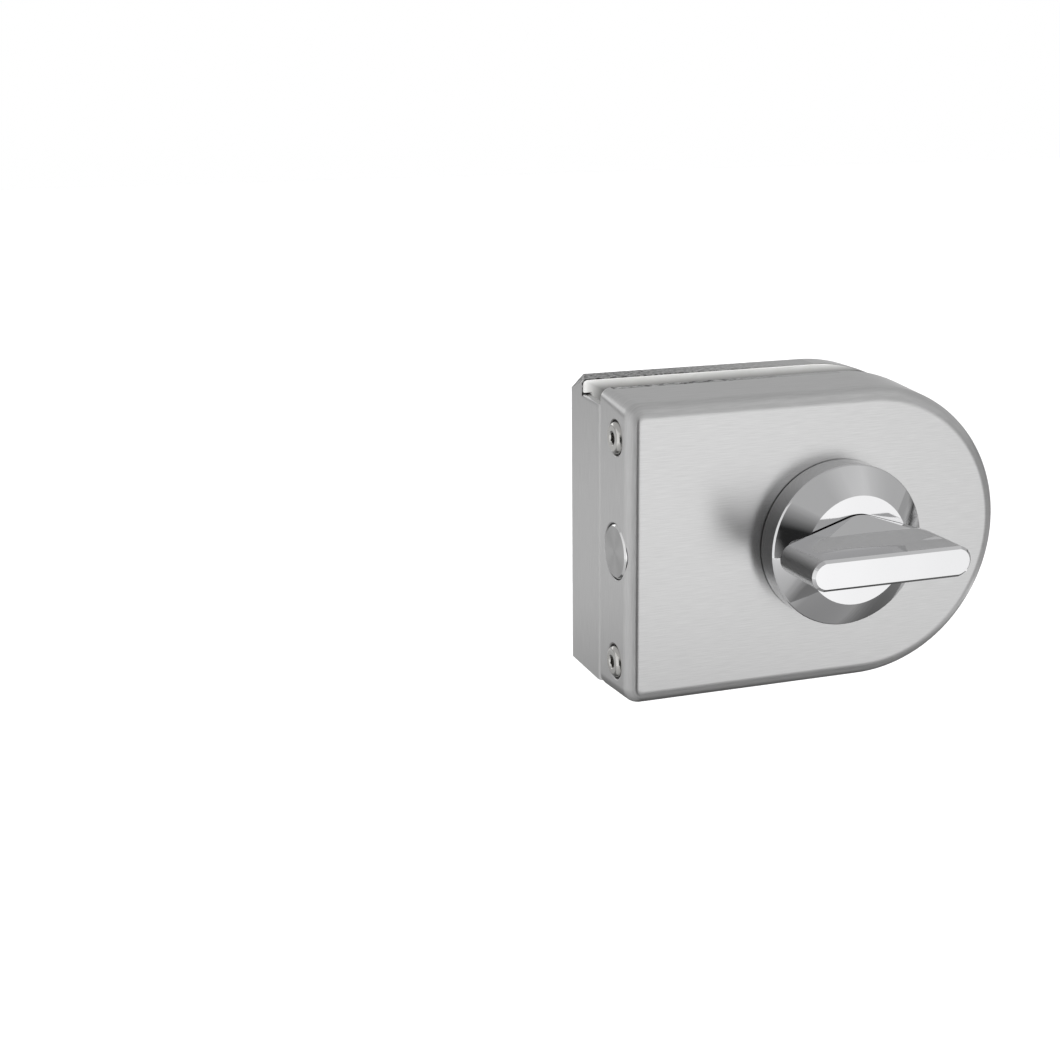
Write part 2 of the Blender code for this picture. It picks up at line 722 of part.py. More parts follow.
def build_case():
    """Die-cast base: a floor towards the glass, a low wall, and what holds the mechanism."""
    case = add_object("lock_case", [flared(case_inset, case_front_y, case_rear_y)], zinc, lock_frame)
    cut(case, "hollow", flared(case_inset + case_wall, 0.0, case_floor_y))

    root = case_floor_y + mm
    boss_end = cover_screw_end + clearance + rosette_edge
    size = cover_screw_radius + boss_wall
    bosses = []
    for _, z in edge_screws:
        low = (case_inset + mm, case_front_y, z - size)
        bosses.append(block(low, (boss_end, root, z + size)))
    join(case, "edge_bosses", *bosses)
    rib_end = turn_axis_x + pin_rest_x + rib_overhang
    upper = block((boss_end, tail_y - clearance, rib_low), (rib_end, root, rib_low + rib_thickness))
    lower_start = (case_inset + mm, bolt_y - pin_radius, -bolt_guide_radius - rib_thickness)
    lower = block(lower_start, (bolt_head_end, root, -bolt_guide_radius))
    join(case, "bolt_guides", upper, lower)
    start = lid_y + lid_thickness + clearance
    join(case, "posts", *[rod(post_radius, start, root, "Y", place) for place in lid_screw_places()])
    side = ball_radius + detent_wall
    detent = block((ball_x - side, tail_y - tail_edge, rib_low), (ball_x + side, root, detent_top))
    join(case, "detent_block", detent)

    pocket = seat_radius + cover_sheet + clearance
    pockets = [rod(pocket, -mm, seat_wall + clearance, "X", (bolt_y, z), 32) for _, z in edge_screws]
    cut(case, "seat_pockets", *pockets)
    bore = cover_screw_radius + clearance
    end = cover_screw_end + clearance
    cut(case, "edge_holes", *[rod(bore, 0.0, end, "X", (bolt_y, z)) for _, z in edge_screws])
    guide = bolt_guide_radius
    groove = [(-guide, 0.0), (guide, 0.0)] + arc((0.0, bolt_y), guide, 0, 180, 20)
    end = bolt_head_end + clearance
    cut(case, "bolt_groove", loft([[(x, y, z) for z, y in groove] for x in (0.0, end)]))
    bore = rear_journal + clearance
    cut(case, "journal_hole", rod(bore, 0.0, cover_depth, "Y", (turn_axis_x, 0.0)))
    heads = [rod(clamp_head_radius + clearance, 0.0, case_floor_y, "Y", place) for place in clamp_places]
    cut(case, "clamp_pockets", *heads)
    cut(case, "clamp_holes", *[rod(clamp_bore, 0.0, cover_depth, "Y", place) for place in clamp_places])
    bore = lid_screw_radius + clearance
    depth = lid_y + lid_screw_length + clearance
    cut(case, "post_holes", *[rod(bore, 0.0, depth, "Y", place, 16) for place in lid_screw_places()])
    middle = (tail_y + tail_end_y) / 2
    bore = ball_radius + clearance
    cut(case, "detent_bore", rod(bore, tail_top, detent_top + mm, "Z", (ball_x, middle)))


def build_lid():
    places = lid_screw_places()
    margin = post_radius + lid_margin
    low = (min(x for x, _ in places) - margin, min(z for _, z in places) - margin)
    high = (max(x for x, _ in places) + margin, max(z for _, z in places) + margin)
    plate = rounded_box(low, high, lid_corner)
    lid_end_y = lid_y + lid_thickness
    lid = add_object("case_lid", [prism(plate, lid_y, lid_end_y)], plated_steel, lock_frame)
    bore = front_journal + clearance
    cut(lid, "journal_hole", rod(bore, 0.0, cover_depth, "Y", (turn_axis_x, 0.0), 32))
    head = 2 * lid_screw_radius
    sink_y = lid_end_y - clearance
    sink = [
        (head + clearance, lid_y - mm),
        (head + clearance, lid_y),
        (lid_screw_radius + clearance, sink_y),
        (lid_screw_radius + clearance, lid_end_y + mm),
    ]
    cut(lid, "screw_sinks", *[turned(sink, "Y", place) for place in places])
    for number, place in enumerate(places, 1):
        profile = [(head, lid_y), (lid_screw_radius, sink_y)]
        profile.append((lid_screw_radius, lid_y + lid_screw_length))
        shape = turned(profile, "Y", place)
        screw = add_object(f"lid_screw_{number}", [shape], plated_steel, lock_frame)
        cut(screw, "socket", hexagon(lid_socket, lid_y - mm, lid_y + lid_socket_depth, "Y", place))


def build_detent():
    """Ball, coil spring and screw, one above the other in the case's detent block."""
    centre = (ball_x, (tail_y + tail_end_y) / 2)
    ball_z = tail_top + ball_lift + ball_radius
    half_circle = arc((0.0, ball_z), ball_radius, -80, 80, 8)
    add_object("detent_ball", [turned(half_circle, "Z", centre, 16)], plated_steel, lock_frame)

    screw_top = detent_top - clearance
    screw_low = screw_top - detent_screw_length
    low = ball_z + ball_radius + clearance + spring_wire / 2
    high = screw_low - clearance - spring_wire / 2
    coil = ball_radius - spring_wire / 2
    steps, sides = 10, 5
    count = int(spring_turns * steps)
    wire = bmesh.new()
    rings = []
    for i in range(count + 1):
        a = 2 * math.pi * i / steps
        rise = low + (high - low) * i / count
        ring = []
        for k in range(sides):
            b = 2 * math.pi * k / sides
            reach = coil + spring_wire / 2 * math.cos(b)
            height = rise + spring_wire / 2 * math.sin(b)
            place = (centre[0] + reach * math.cos(a), centre[1] + reach * math.sin(a), height)
            ring.append(wire.verts.new(place))
        rings.append(ring)
    for ring, following in zip(rings, rings[1:]):
        for k in range(sides):
            wire.faces.new((ring[k - 1], ring[k], following[k], following[k - 1]))
    wire.faces.new(rings[0])
    wire.faces.new(rings[-1])
    add_object("detent_spring", [closed(wire)], plated_steel, lock_frame)

    shape = rod(ball_radius, screw_low, screw_top, "Z", centre)
    plug = add_object("detent_screw", [shape], plated_steel, lock_frame)
    socket = hexagon(detent_socket, screw_top - detent_socket_depth, screw_top + mm, "Z", centre)
    cut(plug, "socket", socket)


def build_clamp():
    """Gaskets, sleeves, screws and the plate in the rear tray that together grip the glass."""
    inset = cover_sheet + gasket_inset
    front = flared(inset, front_gasket_y, front_gasket_y + gasket_thickness)
    front_gasket = add_object("front_gasket", [front], white_pvc, lock_frame)
    outline = bevelled_d_outline(half_height, rear_sheet + clearance)
    plate_end = base_plate_y + base_plate_thickness
    plate = prism(outline, base_plate_y, plate_end)
    base_plate = add_object("rear_base_plate", [plate], zinc, lock_frame)
    rim_outline = d_outline(half_height, rear_gasket_inset, gasket_corner)
    sheet = prism(rim_outline, rear_gasket_y, rear_gasket_y + gasket_thickness)
    rear_gasket = add_object("rear_gasket", [sheet], white_pvc, lock_frame)
    room = rear_sheet + clearance
    notch_half = flange_half + clearance
    notch = block((-room, cover_depth, -notch_half), (room, rear_y, notch_half))
    cut(rear_gasket, "flange_notch", notch)
    for gasket in (front_gasket, rear_gasket):
        cut(gasket, "holes", *[rod(sleeve_bore, 0.0, rear_y, "Y", place) for place in clamp_places])
    cut(base_plate, "holes", *[rod(clamp_bore, 0.0, rear_y, "Y", place) for place in clamp_places])

    head_end = case_floor_y - clearance
    head_start = head_end - clamp_head_height
    profile = [
        (clamp_head_radius - clamp_head_edge, head_start),
        (clamp_head_radius, head_start + clamp_head_edge),
        (clamp_head_radius, head_end),
        (clamp_screw_radius, head_end),
        (clamp_screw_radius, plate_end - clearance),
    ]
    for number, place in enumerate(clamp_places, 1):
        shape = turned(profile, "Y", place)
        screw = add_object(f"clamp_screw_{number}", [shape], plated_steel, lock_frame)
        socket_end = head_start + clamp_socket_depth
        cut(screw, "socket", hexagon(clamp_socket, head_start - mm, socket_end, "Y", place))
        ends = (case_rear_y + clearance, base_plate_y - clearance)
        sleeve = tube(sleeve_radius, clamp_bore, *ends, "Y", place)
        add_object(f"glass_sleeve_{number}", [sleeve], nylon, lock_frame)


build_front_cover()
build_cover_screws()
build_rear_cover()
build_rosette()
build_rosette_screws()
build_thumb_turn()
build_wave_washer()
build_crank()
build_bolt()
build_case()
build_lid()
build_detent()
build_clamp()
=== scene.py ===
import json
import math

import bmesh
import bpy
from mathutils import Euler, Matrix, Vector

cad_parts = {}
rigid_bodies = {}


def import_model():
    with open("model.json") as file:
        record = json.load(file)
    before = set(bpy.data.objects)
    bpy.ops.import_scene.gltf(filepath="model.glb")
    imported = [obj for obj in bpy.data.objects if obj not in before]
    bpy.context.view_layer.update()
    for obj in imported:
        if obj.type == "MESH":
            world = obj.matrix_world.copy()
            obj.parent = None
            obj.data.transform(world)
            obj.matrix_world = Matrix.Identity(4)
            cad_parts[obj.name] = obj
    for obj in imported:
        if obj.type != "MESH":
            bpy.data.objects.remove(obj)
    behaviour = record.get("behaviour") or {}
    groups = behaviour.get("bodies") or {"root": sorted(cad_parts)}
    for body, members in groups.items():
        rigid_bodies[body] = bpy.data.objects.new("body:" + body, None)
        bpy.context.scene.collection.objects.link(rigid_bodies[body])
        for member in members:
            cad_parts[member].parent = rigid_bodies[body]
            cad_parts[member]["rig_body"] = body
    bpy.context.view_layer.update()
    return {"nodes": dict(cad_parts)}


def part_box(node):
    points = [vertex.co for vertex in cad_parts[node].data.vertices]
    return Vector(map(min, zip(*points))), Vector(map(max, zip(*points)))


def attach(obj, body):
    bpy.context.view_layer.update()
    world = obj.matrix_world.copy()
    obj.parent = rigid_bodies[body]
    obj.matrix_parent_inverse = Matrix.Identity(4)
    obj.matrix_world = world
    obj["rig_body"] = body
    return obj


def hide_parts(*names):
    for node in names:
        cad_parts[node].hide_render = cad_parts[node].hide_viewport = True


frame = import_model()
nodes = frame["nodes"]
mm = 0.001
mergeDistance = 0.001 * mm
cutTolerance = 0.0001 * mm
near = 0.01 * mm  # closer than this, a point lies in a plane

# Places that several pieces share, from the frame
coverLow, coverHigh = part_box("front_cover")
rearLow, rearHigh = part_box("rear_cover")
sealLow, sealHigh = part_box("rear_gasket")
rosetteLow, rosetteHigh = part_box("rosette")
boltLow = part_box("bolt")[0]
boltRadius = 6.0 * mm
boltAxis = (boltLow.y + boltRadius, boltLow.z + boltRadius)
turnAxis = ((rosetteLow.x + rosetteHigh.x) / 2, (rosetteLow.z + rosetteHigh.z) / 2)
halfHeight = (coverHigh.z - coverLow.z) / 2
middleZ = coverLow.z + halfHeight
roundX = coverHigh.x - halfHeight
screwPlaces = {}
for name in ("cover_screw_upper", "cover_screw_lower"):
    low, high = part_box(name)
    screwPlaces[name] = (coverLow.x, boltAxis[0], (low.z + high.z) / 2)


def linear(hexColour):
    # sRGB hex to the linear values that Blender's sockets hold
    channels = [int(hexColour[i:i + 2], 16) / 255 for i in (1, 3, 5)]
    return tuple(c / 12.92 if c <= 0.04045 else ((c + 0.055) / 1.055) ** 2.4 for c in channels) + (1.0,)


def addNode(tree, kind, values=None, links=None, **settings):
    # one node: settings are its own options, values go to unlinked sockets, links come from other sockets
    # a Mix node mixes numbers in its sockets 2 and 3, vectors in 4 and 5, and colours in 6 and 7
    node = tree.nodes.new(kind)
    for name, value in settings.items():
        setattr(node, name, value)
    for socket, value in (values or {}).items():
        node.inputs[socket].default_value = value
    for socket, source in (links or {}).items():
        tree.links.new(source, node.inputs[socket])
    return node


def limits(kind, pair):
    # the two limits of a Map Range node, where kind is From or To
    return {f"{kind} Min": pair[0], f"{kind} Max": pair[1]}


def newMaterial(name):
    material = bpy.data.materials.new(name)
    material.use_nodes = True
    material.node_tree.nodes.clear()
    return material, material.node_tree


def finishMaterial(tree, values, links):
    shader = addNode(tree, "ShaderNodeBsdfPrincipled", values, links)
    addNode(tree, "ShaderNodeOutputMaterial", links={"Surface": shader.outputs[0]})


def stretchedNoise(tree, position, sizes, detail, roughness=0.5):
    # noise whose grains are about sizes millimetres long in x, y and z
    scale = [1 / (size * mm) for size in sizes]
    mapping = addNode(tree, "ShaderNodeMapping", {"Scale": scale}, {"Vector": position})
    values = {"Scale": 1.0, "Detail": detail, "Roughness": roughness}
    return addNode(tree, "ShaderNodeTexNoise", values, {"Vector": mapping.outputs[0]}).outputs["Fac"]


# Camera, at the photograph's viewing angle, in millimetres and degrees
cameraSettings = {
    "place": (-171.54, -318.60, 132.87),
    "angles": (74.8043, 0.6217, -18.6321),
    "lens": 56.579,
    "sensor": 36.0,
    "clipStart": 10.0,
}
camera = bpy.data.objects.new("camera", bpy.data.cameras.new("camera"))
camera.data.sensor_width = cameraSettings["sensor"]
camera.data.lens = cameraSettings["lens"]
camera.data.clip_start = cameraSettings["clipStart"] * mm
cameraTurn = Euler([math.radians(angle) for angle in cameraSettings["angles"]]).to_matrix().to_4x4()
camera.matrix_world = Matrix.Translation(Vector(cameraSettings["place"]) * mm) @ cameraTurn
bpy.context.scene.collection.objects.link(camera)
bpy.context.scene.camera = camera
bpy.context.scene.view_settings.view_transform = "Standard"
print("camera placed")


# Studio, in metres and degrees: a pale floor, and a room that is white up to the horizon and grey above it
studio = {
    "middle": (-0.005, 0.0, 0.034),
    "floorDrop": 0.12,
    "floorSize": 4.0,
    "floorColour": "#F1F1F1",
    "floorGlow": 0.30,
    "horizon": ((0.05, 1.0), (0.09, 0.5)),
    "lampDistance": 1.0,
    "cardStep": 3,
}
# azimuth is measured from the front (-Y) towards the right (+X)
softboxes = {
    "keySoftbox": {"azimuth": 30, "elevation": 48, "spread": 60, "strength": 1.5},
    "fillSoftbox": {"azimuth": -70, "elevation": 40, "spread": 70, "strength": 0.9},
}
# Each card is a strip curved round the object: (distance, height) of its edges in metres from its middle,
# the grey at each edge, and over how many degrees its two ends fade out. Only the metal sees the cards, as it
# would see a photographer's own.
cards = {
    # the room itself, and the floor in the lock's shade with its darker strips
    "roomDome": {
        "azimuths": (-180, 180),
        "edges": ((5.200, 0.180), (5.200, 0.300), (4.600, 2.400), (2.600, 4.500), (0.001, 5.200)),
        "greys": (1.00, 0.50, 0.50, 0.50, 0.50),
        "fade": 0,
    },
    "underCard": {
        "azimuths": (-180, 180),
        "edges": ((0.001, -0.150), (0.090, -0.150), (0.170, -0.150), (0.290, -0.150)),
        "greys": (0.26, 0.34, 0.30, 0.92),
        "fade": 0,
    },
    "underFrontCard": {
        "azimuths": (-4, 70),
        "edges": ((0.096, -0.1492), (0.220, -0.1492)),
        "greys": (0.13, 0.26),
        "fade": 14,
    },
    "underRearCard": {
        "azimuths": (82, 262),
        "edges": ((0.001, -0.1495), (0.290, -0.1495)),
        "greys": (0.03, 0.22),
        "fade": 20,
    },
    # pale floor further out, which the front face and the turn show
    "leftFloorCard": {
        "azimuths": (-120, -24),
        "edges": ((0.060, -0.149), (0.420, -0.149)),
        "greys": (0.45, 0.80),
        "fade": 14,
    },
    "frontFloorCard": {
        "azimuths": (-12, 60),
        "edges": ((0.290, -0.148), (2.600, -0.148)),
        "greys": (1.23, 1.23),
        "fade": 9,
    },
    "rightFloorCard": {
        "azimuths": (24, 90),
        "edges": ((0.285, -0.1475), (2.600, -0.1475)),
        "greys": (0.90, 0.90),
        "fade": 24,
    },
    # dark flags at the camera, which give the dark bands in the turn, the rosette and the rolled left edge
    "cameraFlag": {
        "azimuths": (-43, -6),
        "edges": ((0.080, -0.147), (0.420, -0.147), (0.420, 0.070), (0.420, 0.250)),
        "greys": (0.20, 0.04, 0.02, 0.48),
        "fade": 9,
    },
    "sideFlag": {
        "azimuths": (-51, -28),
        "edges": ((0.425, -0.147), (0.425, 0.070), (0.425, 0.250)),
        "greys": (0.02, 0.02, 0.48),
        "fade": 4,
    },
    # light beside the flags, and what the lock edge, the corners and the round end show
    "leftSoftCard": {
        "azimuths": (-118, -42),
        "edges": ((0.430, -0.148), (0.430, 0.330)),
        "greys": (1.00, 0.80),
        "fade": 8,
    },
    "rearLeftCard": {
        "azimuths": (-188, -106),
        "edges": ((0.150, -0.146), (0.330, -0.146), (0.420, -0.140), (0.420, -0.080), (0.420, 0.060)),
        "greys": (0.14, 0.40, 0.62, 0.62, 0.30),
        "fade": 10,
    },
    "rearLeftHighCard": {
        "azimuths": (-181, -140),
        "edges": ((0.460, -0.010), (0.460, 0.180)),
        "greys": (1.35, 1.35),
        "fade": 10,
    },
    "rightCard": {
        "azimuths": (47, 100),
        "edges": ((0.310, -0.148), (0.310, 0.055)),
        "greys": (0.36, 0.38),
        "fade": 10,
    },
    "rightFlag": {
        "azimuths": (91, 98),
        "edges": ((0.300, -0.060), (0.300, 0.050)),
        "greys": (0.05, 0.05),
        "fade": 3,
    },
    "farRightCard": {
        "azimuths": (92, 130),
        "edges": ((0.320, -0.148), (0.320, 0.055)),
        "greys": (0.30, 0.32),
        "fade": 8,
    },
    # the upper walls and the rolled upper edge
    "backCard": {
        "azimuths": (112, 208),
        "edges": ((0.500, 0.044), (0.500, 0.500)),
        "greys": (0.50, 0.56),
        "fade": 10,
    },
    "ceilingCard": {
        "azimuths": (0, 90),
        "edges": ((0.440, 0.140), (0.360, 0.340), (0.220, 0.500)),
        "greys": (0.50, 0.70, 0.52),
        "fade": 33,
    },
}


def fromMiddle(azimuth, elevation, distance):
    a, e = math.radians(azimuth), math.radians(elevation)
    away = Vector((math.sin(a) * math.cos(e), -math.cos(a) * math.cos(e), math.sin(e)))
    place = Vector(studio["middle"]) + away * distance
    return Matrix.Translation(place) @ away.to_track_quat("Z", "Y").to_matrix().to_4x4()


def seenDirectly(tree):
    # 1 for what the camera sees, itself or in metal and glass
    path = addNode(tree, "ShaderNodeLightPath")
    seen = path.outputs["Is Camera Ray"]
    for kind in ("Is Glossy Ray", "Is Transmission Ray"):
        both = addNode(tree, "ShaderNodeMath", links={0: seen, 1: path.outputs[kind]}, operation="ADD")
        seen = both.outputs[0]
    return seen


def addToStudio(name, mesh):
    data = bpy.data.meshes.new(name)
    mesh.to_mesh(data)
    mesh.free()
    item = bpy.data.objects.new(name, data)
    bpy.context.scene.collection.objects.link(item)
    return item


def buildFloor():
    mesh = bmesh.new()
    bmesh.ops.create_grid(mesh, x_segments=1, y_segments=1, size=studio["floorSize"])
    bmesh.ops.translate(mesh, verts=mesh.verts, vec=(0, 0, -studio["floorDrop"]))
    floor = addToStudio("floor", mesh)
    material, tree = newMaterial("paintedFloor")
    matte = addNode(tree, "ShaderNodeBsdfDiffuse", {"Color": linear(studio["floorColour"])})
    seen = seenDirectly(tree)
    glow = addNode(tree, "ShaderNodeMath", {1: studio["floorGlow"]}, {0: seen}, operation="MULTIPLY")
    light = addNode(tree, "ShaderNodeEmission", links={"Strength": glow.outputs[0]})
    both = addNode(tree, "ShaderNodeAddShader", links={0: matte.outputs[0], 1: light.outputs[0]})
    addNode(tree, "ShaderNodeOutputMaterial", links={"Surface": both.outputs[0]})
    floor.data.materials.append(material)


def buildRoom():
    world = bpy.data.worlds.new("room")
    world.use_nodes = True
    tree = world.node_tree
    tree.nodes.clear()
    direction = addNode(tree, "ShaderNodeTexCoord").outputs["Generated"]
    height = addNode(tree, "ShaderNodeSeparateXYZ", links={0: direction}).outputs["Z"]
    ramp = addNode(tree, "ShaderNodeValToRGB", links={"Fac": height})
    for element, (position, grey) in zip(ramp.color_ramp.elements, studio["horizon"]):
        element.position = position
        element.color = (grey, grey, grey, 1.0)
    # the ramp lights the object, and what is seen of the room is white
    links = {"Factor": seenDirectly(tree), 6: ramp.outputs["Color"]}
    colour = addNode(tree, "ShaderNodeMix", {7: (1.0, 1.0, 1.0, 1.0)}, links, data_type="RGBA")
    background = addNode(tree, "ShaderNodeBackground", links={"Color": colour.outputs[2]})
    addNode(tree, "ShaderNodeOutputWorld", links={"Surface": background.outputs[0]})
    bpy.context.scene.world = world


def buildSoftbox(name, box):
    # a large soft light far away, so that it falls evenly
    # it lights the matt surfaces, while the cards and the room light the metal
    lamp = bpy.data.lights.new(name, "SUN")
    lamp.angle = math.radians(box["spread"])
    lamp.energy = box["strength"]
    softbox = bpy.data.objects.new(name, lamp)
    softbox.matrix_world = fromMiddle(box["azimuth"], box["elevation"], studio["lampDistance"])
    softbox.visible_glossy = False
    bpy.context.scene.collection.objects.link(softbox)


def buildCard(name, card):
    first, last = card["azimuths"]
    toStart = Matrix.Rotation(math.radians(first), 4, "Z")
    mesh = bmesh.new()
    verts = [mesh.verts.new(toStart @ Vector((0, -distance, height))) for distance, height in card["edges"]]
    edges = [mesh.edges.new(pair) for pair in zip(verts, verts[1:])]
    steps = round((last - first) / studio["cardStep"])
    bmesh.ops.spin(mesh, geom=verts + edges, axis=(0, 0, 1), angle=math.radians(last - first), steps=steps)
    bmesh.ops.translate(mesh, verts=mesh.verts, vec=studio["middle"])
    # the grey of each edge, and how far the card covers what is behind it, are kept on the mesh
    shade = mesh.verts.layers.float.new("grey")
    cover = mesh.verts.layers.float.new("cover")
    middleAzimuth, halfTurn = math.radians(first + last) / 2, math.radians(last - first) / 2
    for vert in mesh.verts:
        flat = vert.co - Vector(studio["middle"])
        place = (math.hypot(flat.x, flat.y), flat.z)
        gaps = [math.dist(place, edge) for edge in card["edges"]]
        vert[shade] = card["greys"][gaps.index(min(gaps))]
        across = abs(math.remainder(math.atan2(flat.x, -flat.y) - middleAzimuth, 2 * math.pi))
        vert[cover] = min(1.0, (halfTurn - across) / math.radians(card["fade"])) if card["fade"] else 1.0
    sheet = addToStudio(name, mesh)
    sheet.visible_camera = False
    sheet.visible_diffuse = False
    sheet.visible_shadow = False
    material, tree = newMaterial(name + "Paper")
    grey = addNode(tree, "ShaderNodeAttribute", attribute_name="grey").outputs["Fac"]
    light = addNode(tree, "ShaderNodeEmission", links={"Strength": grey})
    clear = addNode(tree, "ShaderNodeBsdfTransparent")
    covering = addNode(tree, "ShaderNodeAttribute", attribute_name="cover").outputs["Fac"]
    both = addNode(tree, "ShaderNodeMixShader", links={0: covering, 1: clear.outputs[0], 2: light.outputs[0]})
    addNode(tree, "ShaderNodeOutputMaterial", links={"Surface": both.outputs[0]})
    sheet.data.materials.append(material)


buildFloor()
buildRoom()
for name, box in softboxes.items():
    buildSoftbox(name, box)
for name, card in cards.items():
    buildCard(name, card)
print("studio built")


# In the materials, sizes are millimetres, tones are (place in the pattern, colour), and a pair of roughnesses
# goes from the low to the high places of the pattern.

# Stainless sheet with a brushed finish. The front is ground along its length and the walls round the outline,
# so light spreads across the grain. The grain is about 0.05 mm wide, drawn 0.2 mm wide so that it shows.
# The press has roughened the rolled edge between the front and the wall at the lock edge.
brushedStainless = {
    "tones": ((0.3, "#CCCCCC"), (0.7, "#D8D8D8")),
    "roughness": 0.30,
    "edgeRoughness": 0.48,
    "grainRoughness": (-0.04, 0.04),
    "anisotropy": 0.70,
    "grainLength": 5.0,
    "grainWidth": 0.2,
    "grainDetail": 3.0,
    "grainDepth": 0.004,
    "grainStrength": 0.35,
    "frontFacing": (0.90, 0.985),
    "lockEdgeFacing": (-0.10, -0.35),
    "bend": ((0.08, 0.0), (0.35, 1.0), (0.88, 1.0), (0.99, 0.0)),
}


def makeBrushedStainless():
    values = brushedStainless
    material, tree = newMaterial("brushedStainless")
    position = addNode(tree, "ShaderNodeTexCoord").outputs["Object"]
    normal = addNode(tree, "ShaderNodeTexCoord").outputs["Normal"]
    facings = addNode(tree, "ShaderNodeSeparateXYZ", links={0: normal}).outputs
    facing = addNode(tree, "ShaderNodeMath", links={0: facings["Y"]}, operation="ABSOLUTE").outputs[0]
    edgeLimits = limits("From", values["lockEdgeFacing"])
    atLockEdge = addNode(tree, "ShaderNodeMapRange", edgeLimits, {"Value": facings["X"]}).outputs[0]
    frontLimits = limits("From", values["frontFacing"])
    isFront = addNode(tree, "ShaderNodeMapRange", frontLimits, {"Value": facing}).outputs[0]

    long, wide, detail = values["grainLength"], values["grainWidth"], values["grainDetail"]
    frontGrain = stretchedNoise(tree, position, (long, long, wide), detail)
    wallGrain = stretchedNoise(tree, position, (long, wide, long), detail)
    grain = addNode(tree, "ShaderNodeMix", links={"Factor": isFront, 2: wallGrain, 3: frontGrain}).outputs[0]
    colour = addNode(tree, "ShaderNodeValToRGB", links={"Fac": grain})
    for element, (place, tone) in zip(colour.color_ramp.elements, values["tones"]):
        element.position, element.color = place, linear(tone)

    # 1 where the surface faces neither the front nor sideways
    bend = addNode(tree, "ShaderNodeValToRGB", links={"Fac": facing})
    while len(bend.color_ramp.elements) < len(values["bend"]):
        bend.color_ramp.elements.new(1.0)
    for element, (place, level) in zip(bend.color_ramp.elements, values["bend"]):
        element.position, element.color = place, (level, level, level, 1.0)
    links = {0: bend.outputs["Color"], 1: atLockEdge}
    rolled = addNode(tree, "ShaderNodeMath", links=links, operation="MULTIPLY").outputs[0]
    baseLimits = limits("To", (values["roughness"], values["edgeRoughness"]))
    base = addNode(tree, "ShaderNodeMapRange", baseLimits, {"Value": rolled}).outputs[0]
    spreadLimits = limits("To", values["grainRoughness"])
    spread = addNode(tree, "ShaderNodeMapRange", spreadLimits, {"Value": grain}).outputs[0]
    rough = addNode(tree, "ShaderNodeMath", links={0: base, 1: spread}, operation="ADD")
    depth = {"Strength": values["grainStrength"], "Distance": values["grainDepth"] * mm}
    bump = addNode(tree, "ShaderNodeBump", depth, {"Height": grain})
    # light spreads along this direction: up on the front, front to back on the walls
    directions = {4: (0.0, 1.0, 0.0), 5: (0.0, 0.0, 1.0)}
    across = addNode(tree, "ShaderNodeMix", directions, {"Factor": isFront}, data_type="VECTOR").outputs[1]
    finishMaterial(tree, {"Metallic": 1.0, "Anisotropic": values["anisotropy"]}, {
        "Base Color": colour.outputs["Color"],
        "Roughness": rough.outputs[0],
        "Normal": bump.outputs[0],
        "Tangent": across,
    })
    return material


# The same sheet where it was sheared: torn and glinting, with crumbs about 1 mm across, dark in part from the
# torn metal and in part from painted shade of the gap beside it. The dark fades out between the two
# distances.
shearedEdgeAndShade = {
    "tones": ((0.40, "#1E1E1E"), (0.66, "#D8D8D8")),
    "fadedColour": "#C4C4C4",
    "roughness": (0.46, 0.22),
    "crumb": 0.9,
    "length": 1.1,
    "detail": 4.0,
    "fineness": 0.65,
    "depth": 0.10,
    "strength": (0.6, 0.05),
    "fade": (14.0, 52.0),
}
# The trimmed rim of the front cover is torn more coarsely and further along; its dark crumbs are partly
# painted shade of the gap behind the rim
raggedRimAndShade = {
    **shearedEdgeAndShade,
    "tones": ((0.40, "#1A1A1A"), (0.66, "#EEEEEE")),
    "length": 1.9,
    "fade": (26.0, 48.0),
}


def makeTornAndShadedEdge(name, values):
    material, tree = newMaterial(name)
    position = addNode(tree, "ShaderNodeTexCoord").outputs["Object"]
    sizes = (values["length"], values["crumb"], values["crumb"])
    crumbs = stretchedNoise(tree, position, sizes, values["detail"], values["fineness"])
    # dark crumbs: in part the torn metal, in part painted shade of the gap beside the rim
    tornAndShaded = addNode(tree, "ShaderNodeValToRGB", links={"Fac": crumbs})
    for element, (place, tone) in zip(tornAndShaded.color_ramp.elements, values["tones"]):
        element.position, element.color = place, linear(tone)
    along = addNode(tree, "ShaderNodeSeparateXYZ", links={0: position}).outputs["X"]
    fade = limits("From", [coverLow.x + distance * mm for distance in values["fade"]])
    fadedOut = addNode(tree, "ShaderNodeMapRange", fade, {"Value": along}).outputs[0]
    links = {"Factor": fadedOut, 6: tornAndShaded.outputs["Color"]}
    colour = addNode(tree, "ShaderNodeMix", {7: linear(values["fadedColour"])}, links, data_type="RGBA")
    rough = addNode(tree, "ShaderNodeMapRange", limits("To", values["roughness"]), {"Value": crumbs})
    strength = addNode(tree, "ShaderNodeMapRange", limits("To", values["strength"]), {"Value": fadedOut})
    links = {"Height": crumbs, "Strength": strength.outputs[0]}
    bump = addNode(tree, "ShaderNodeBump", {"Distance": values["depth"] * mm}, links)
    finishMaterial(tree, {"Metallic": 1.0}, {
        "Base Color": colour.outputs[2],
        "Roughness": rough.outputs[0],
        "Normal": bump.outputs[0],
    })
    return material


# Zinc die casting, polished and chromium plated: a mirror with very faint waviness from hand polishing
polishedChrome = {
    "colour": "#E2E2E3",
    "roughness": (0.030, 0.065),
    "hazeSize": 2.0,
    "hazeDetail": 3.0,
    "waveSize": 7.0,
    "waveDetail": 1.0,
    "waveDepth": 0.0015,
    "waveStrength": 0.5,
}
# Stainless bar, ground between wheels and polished along its side
groundStainless = {**polishedChrome, "colour": "#E6E6E6", "roughness": (0.115, 0.150), "waveSize": 3.0}
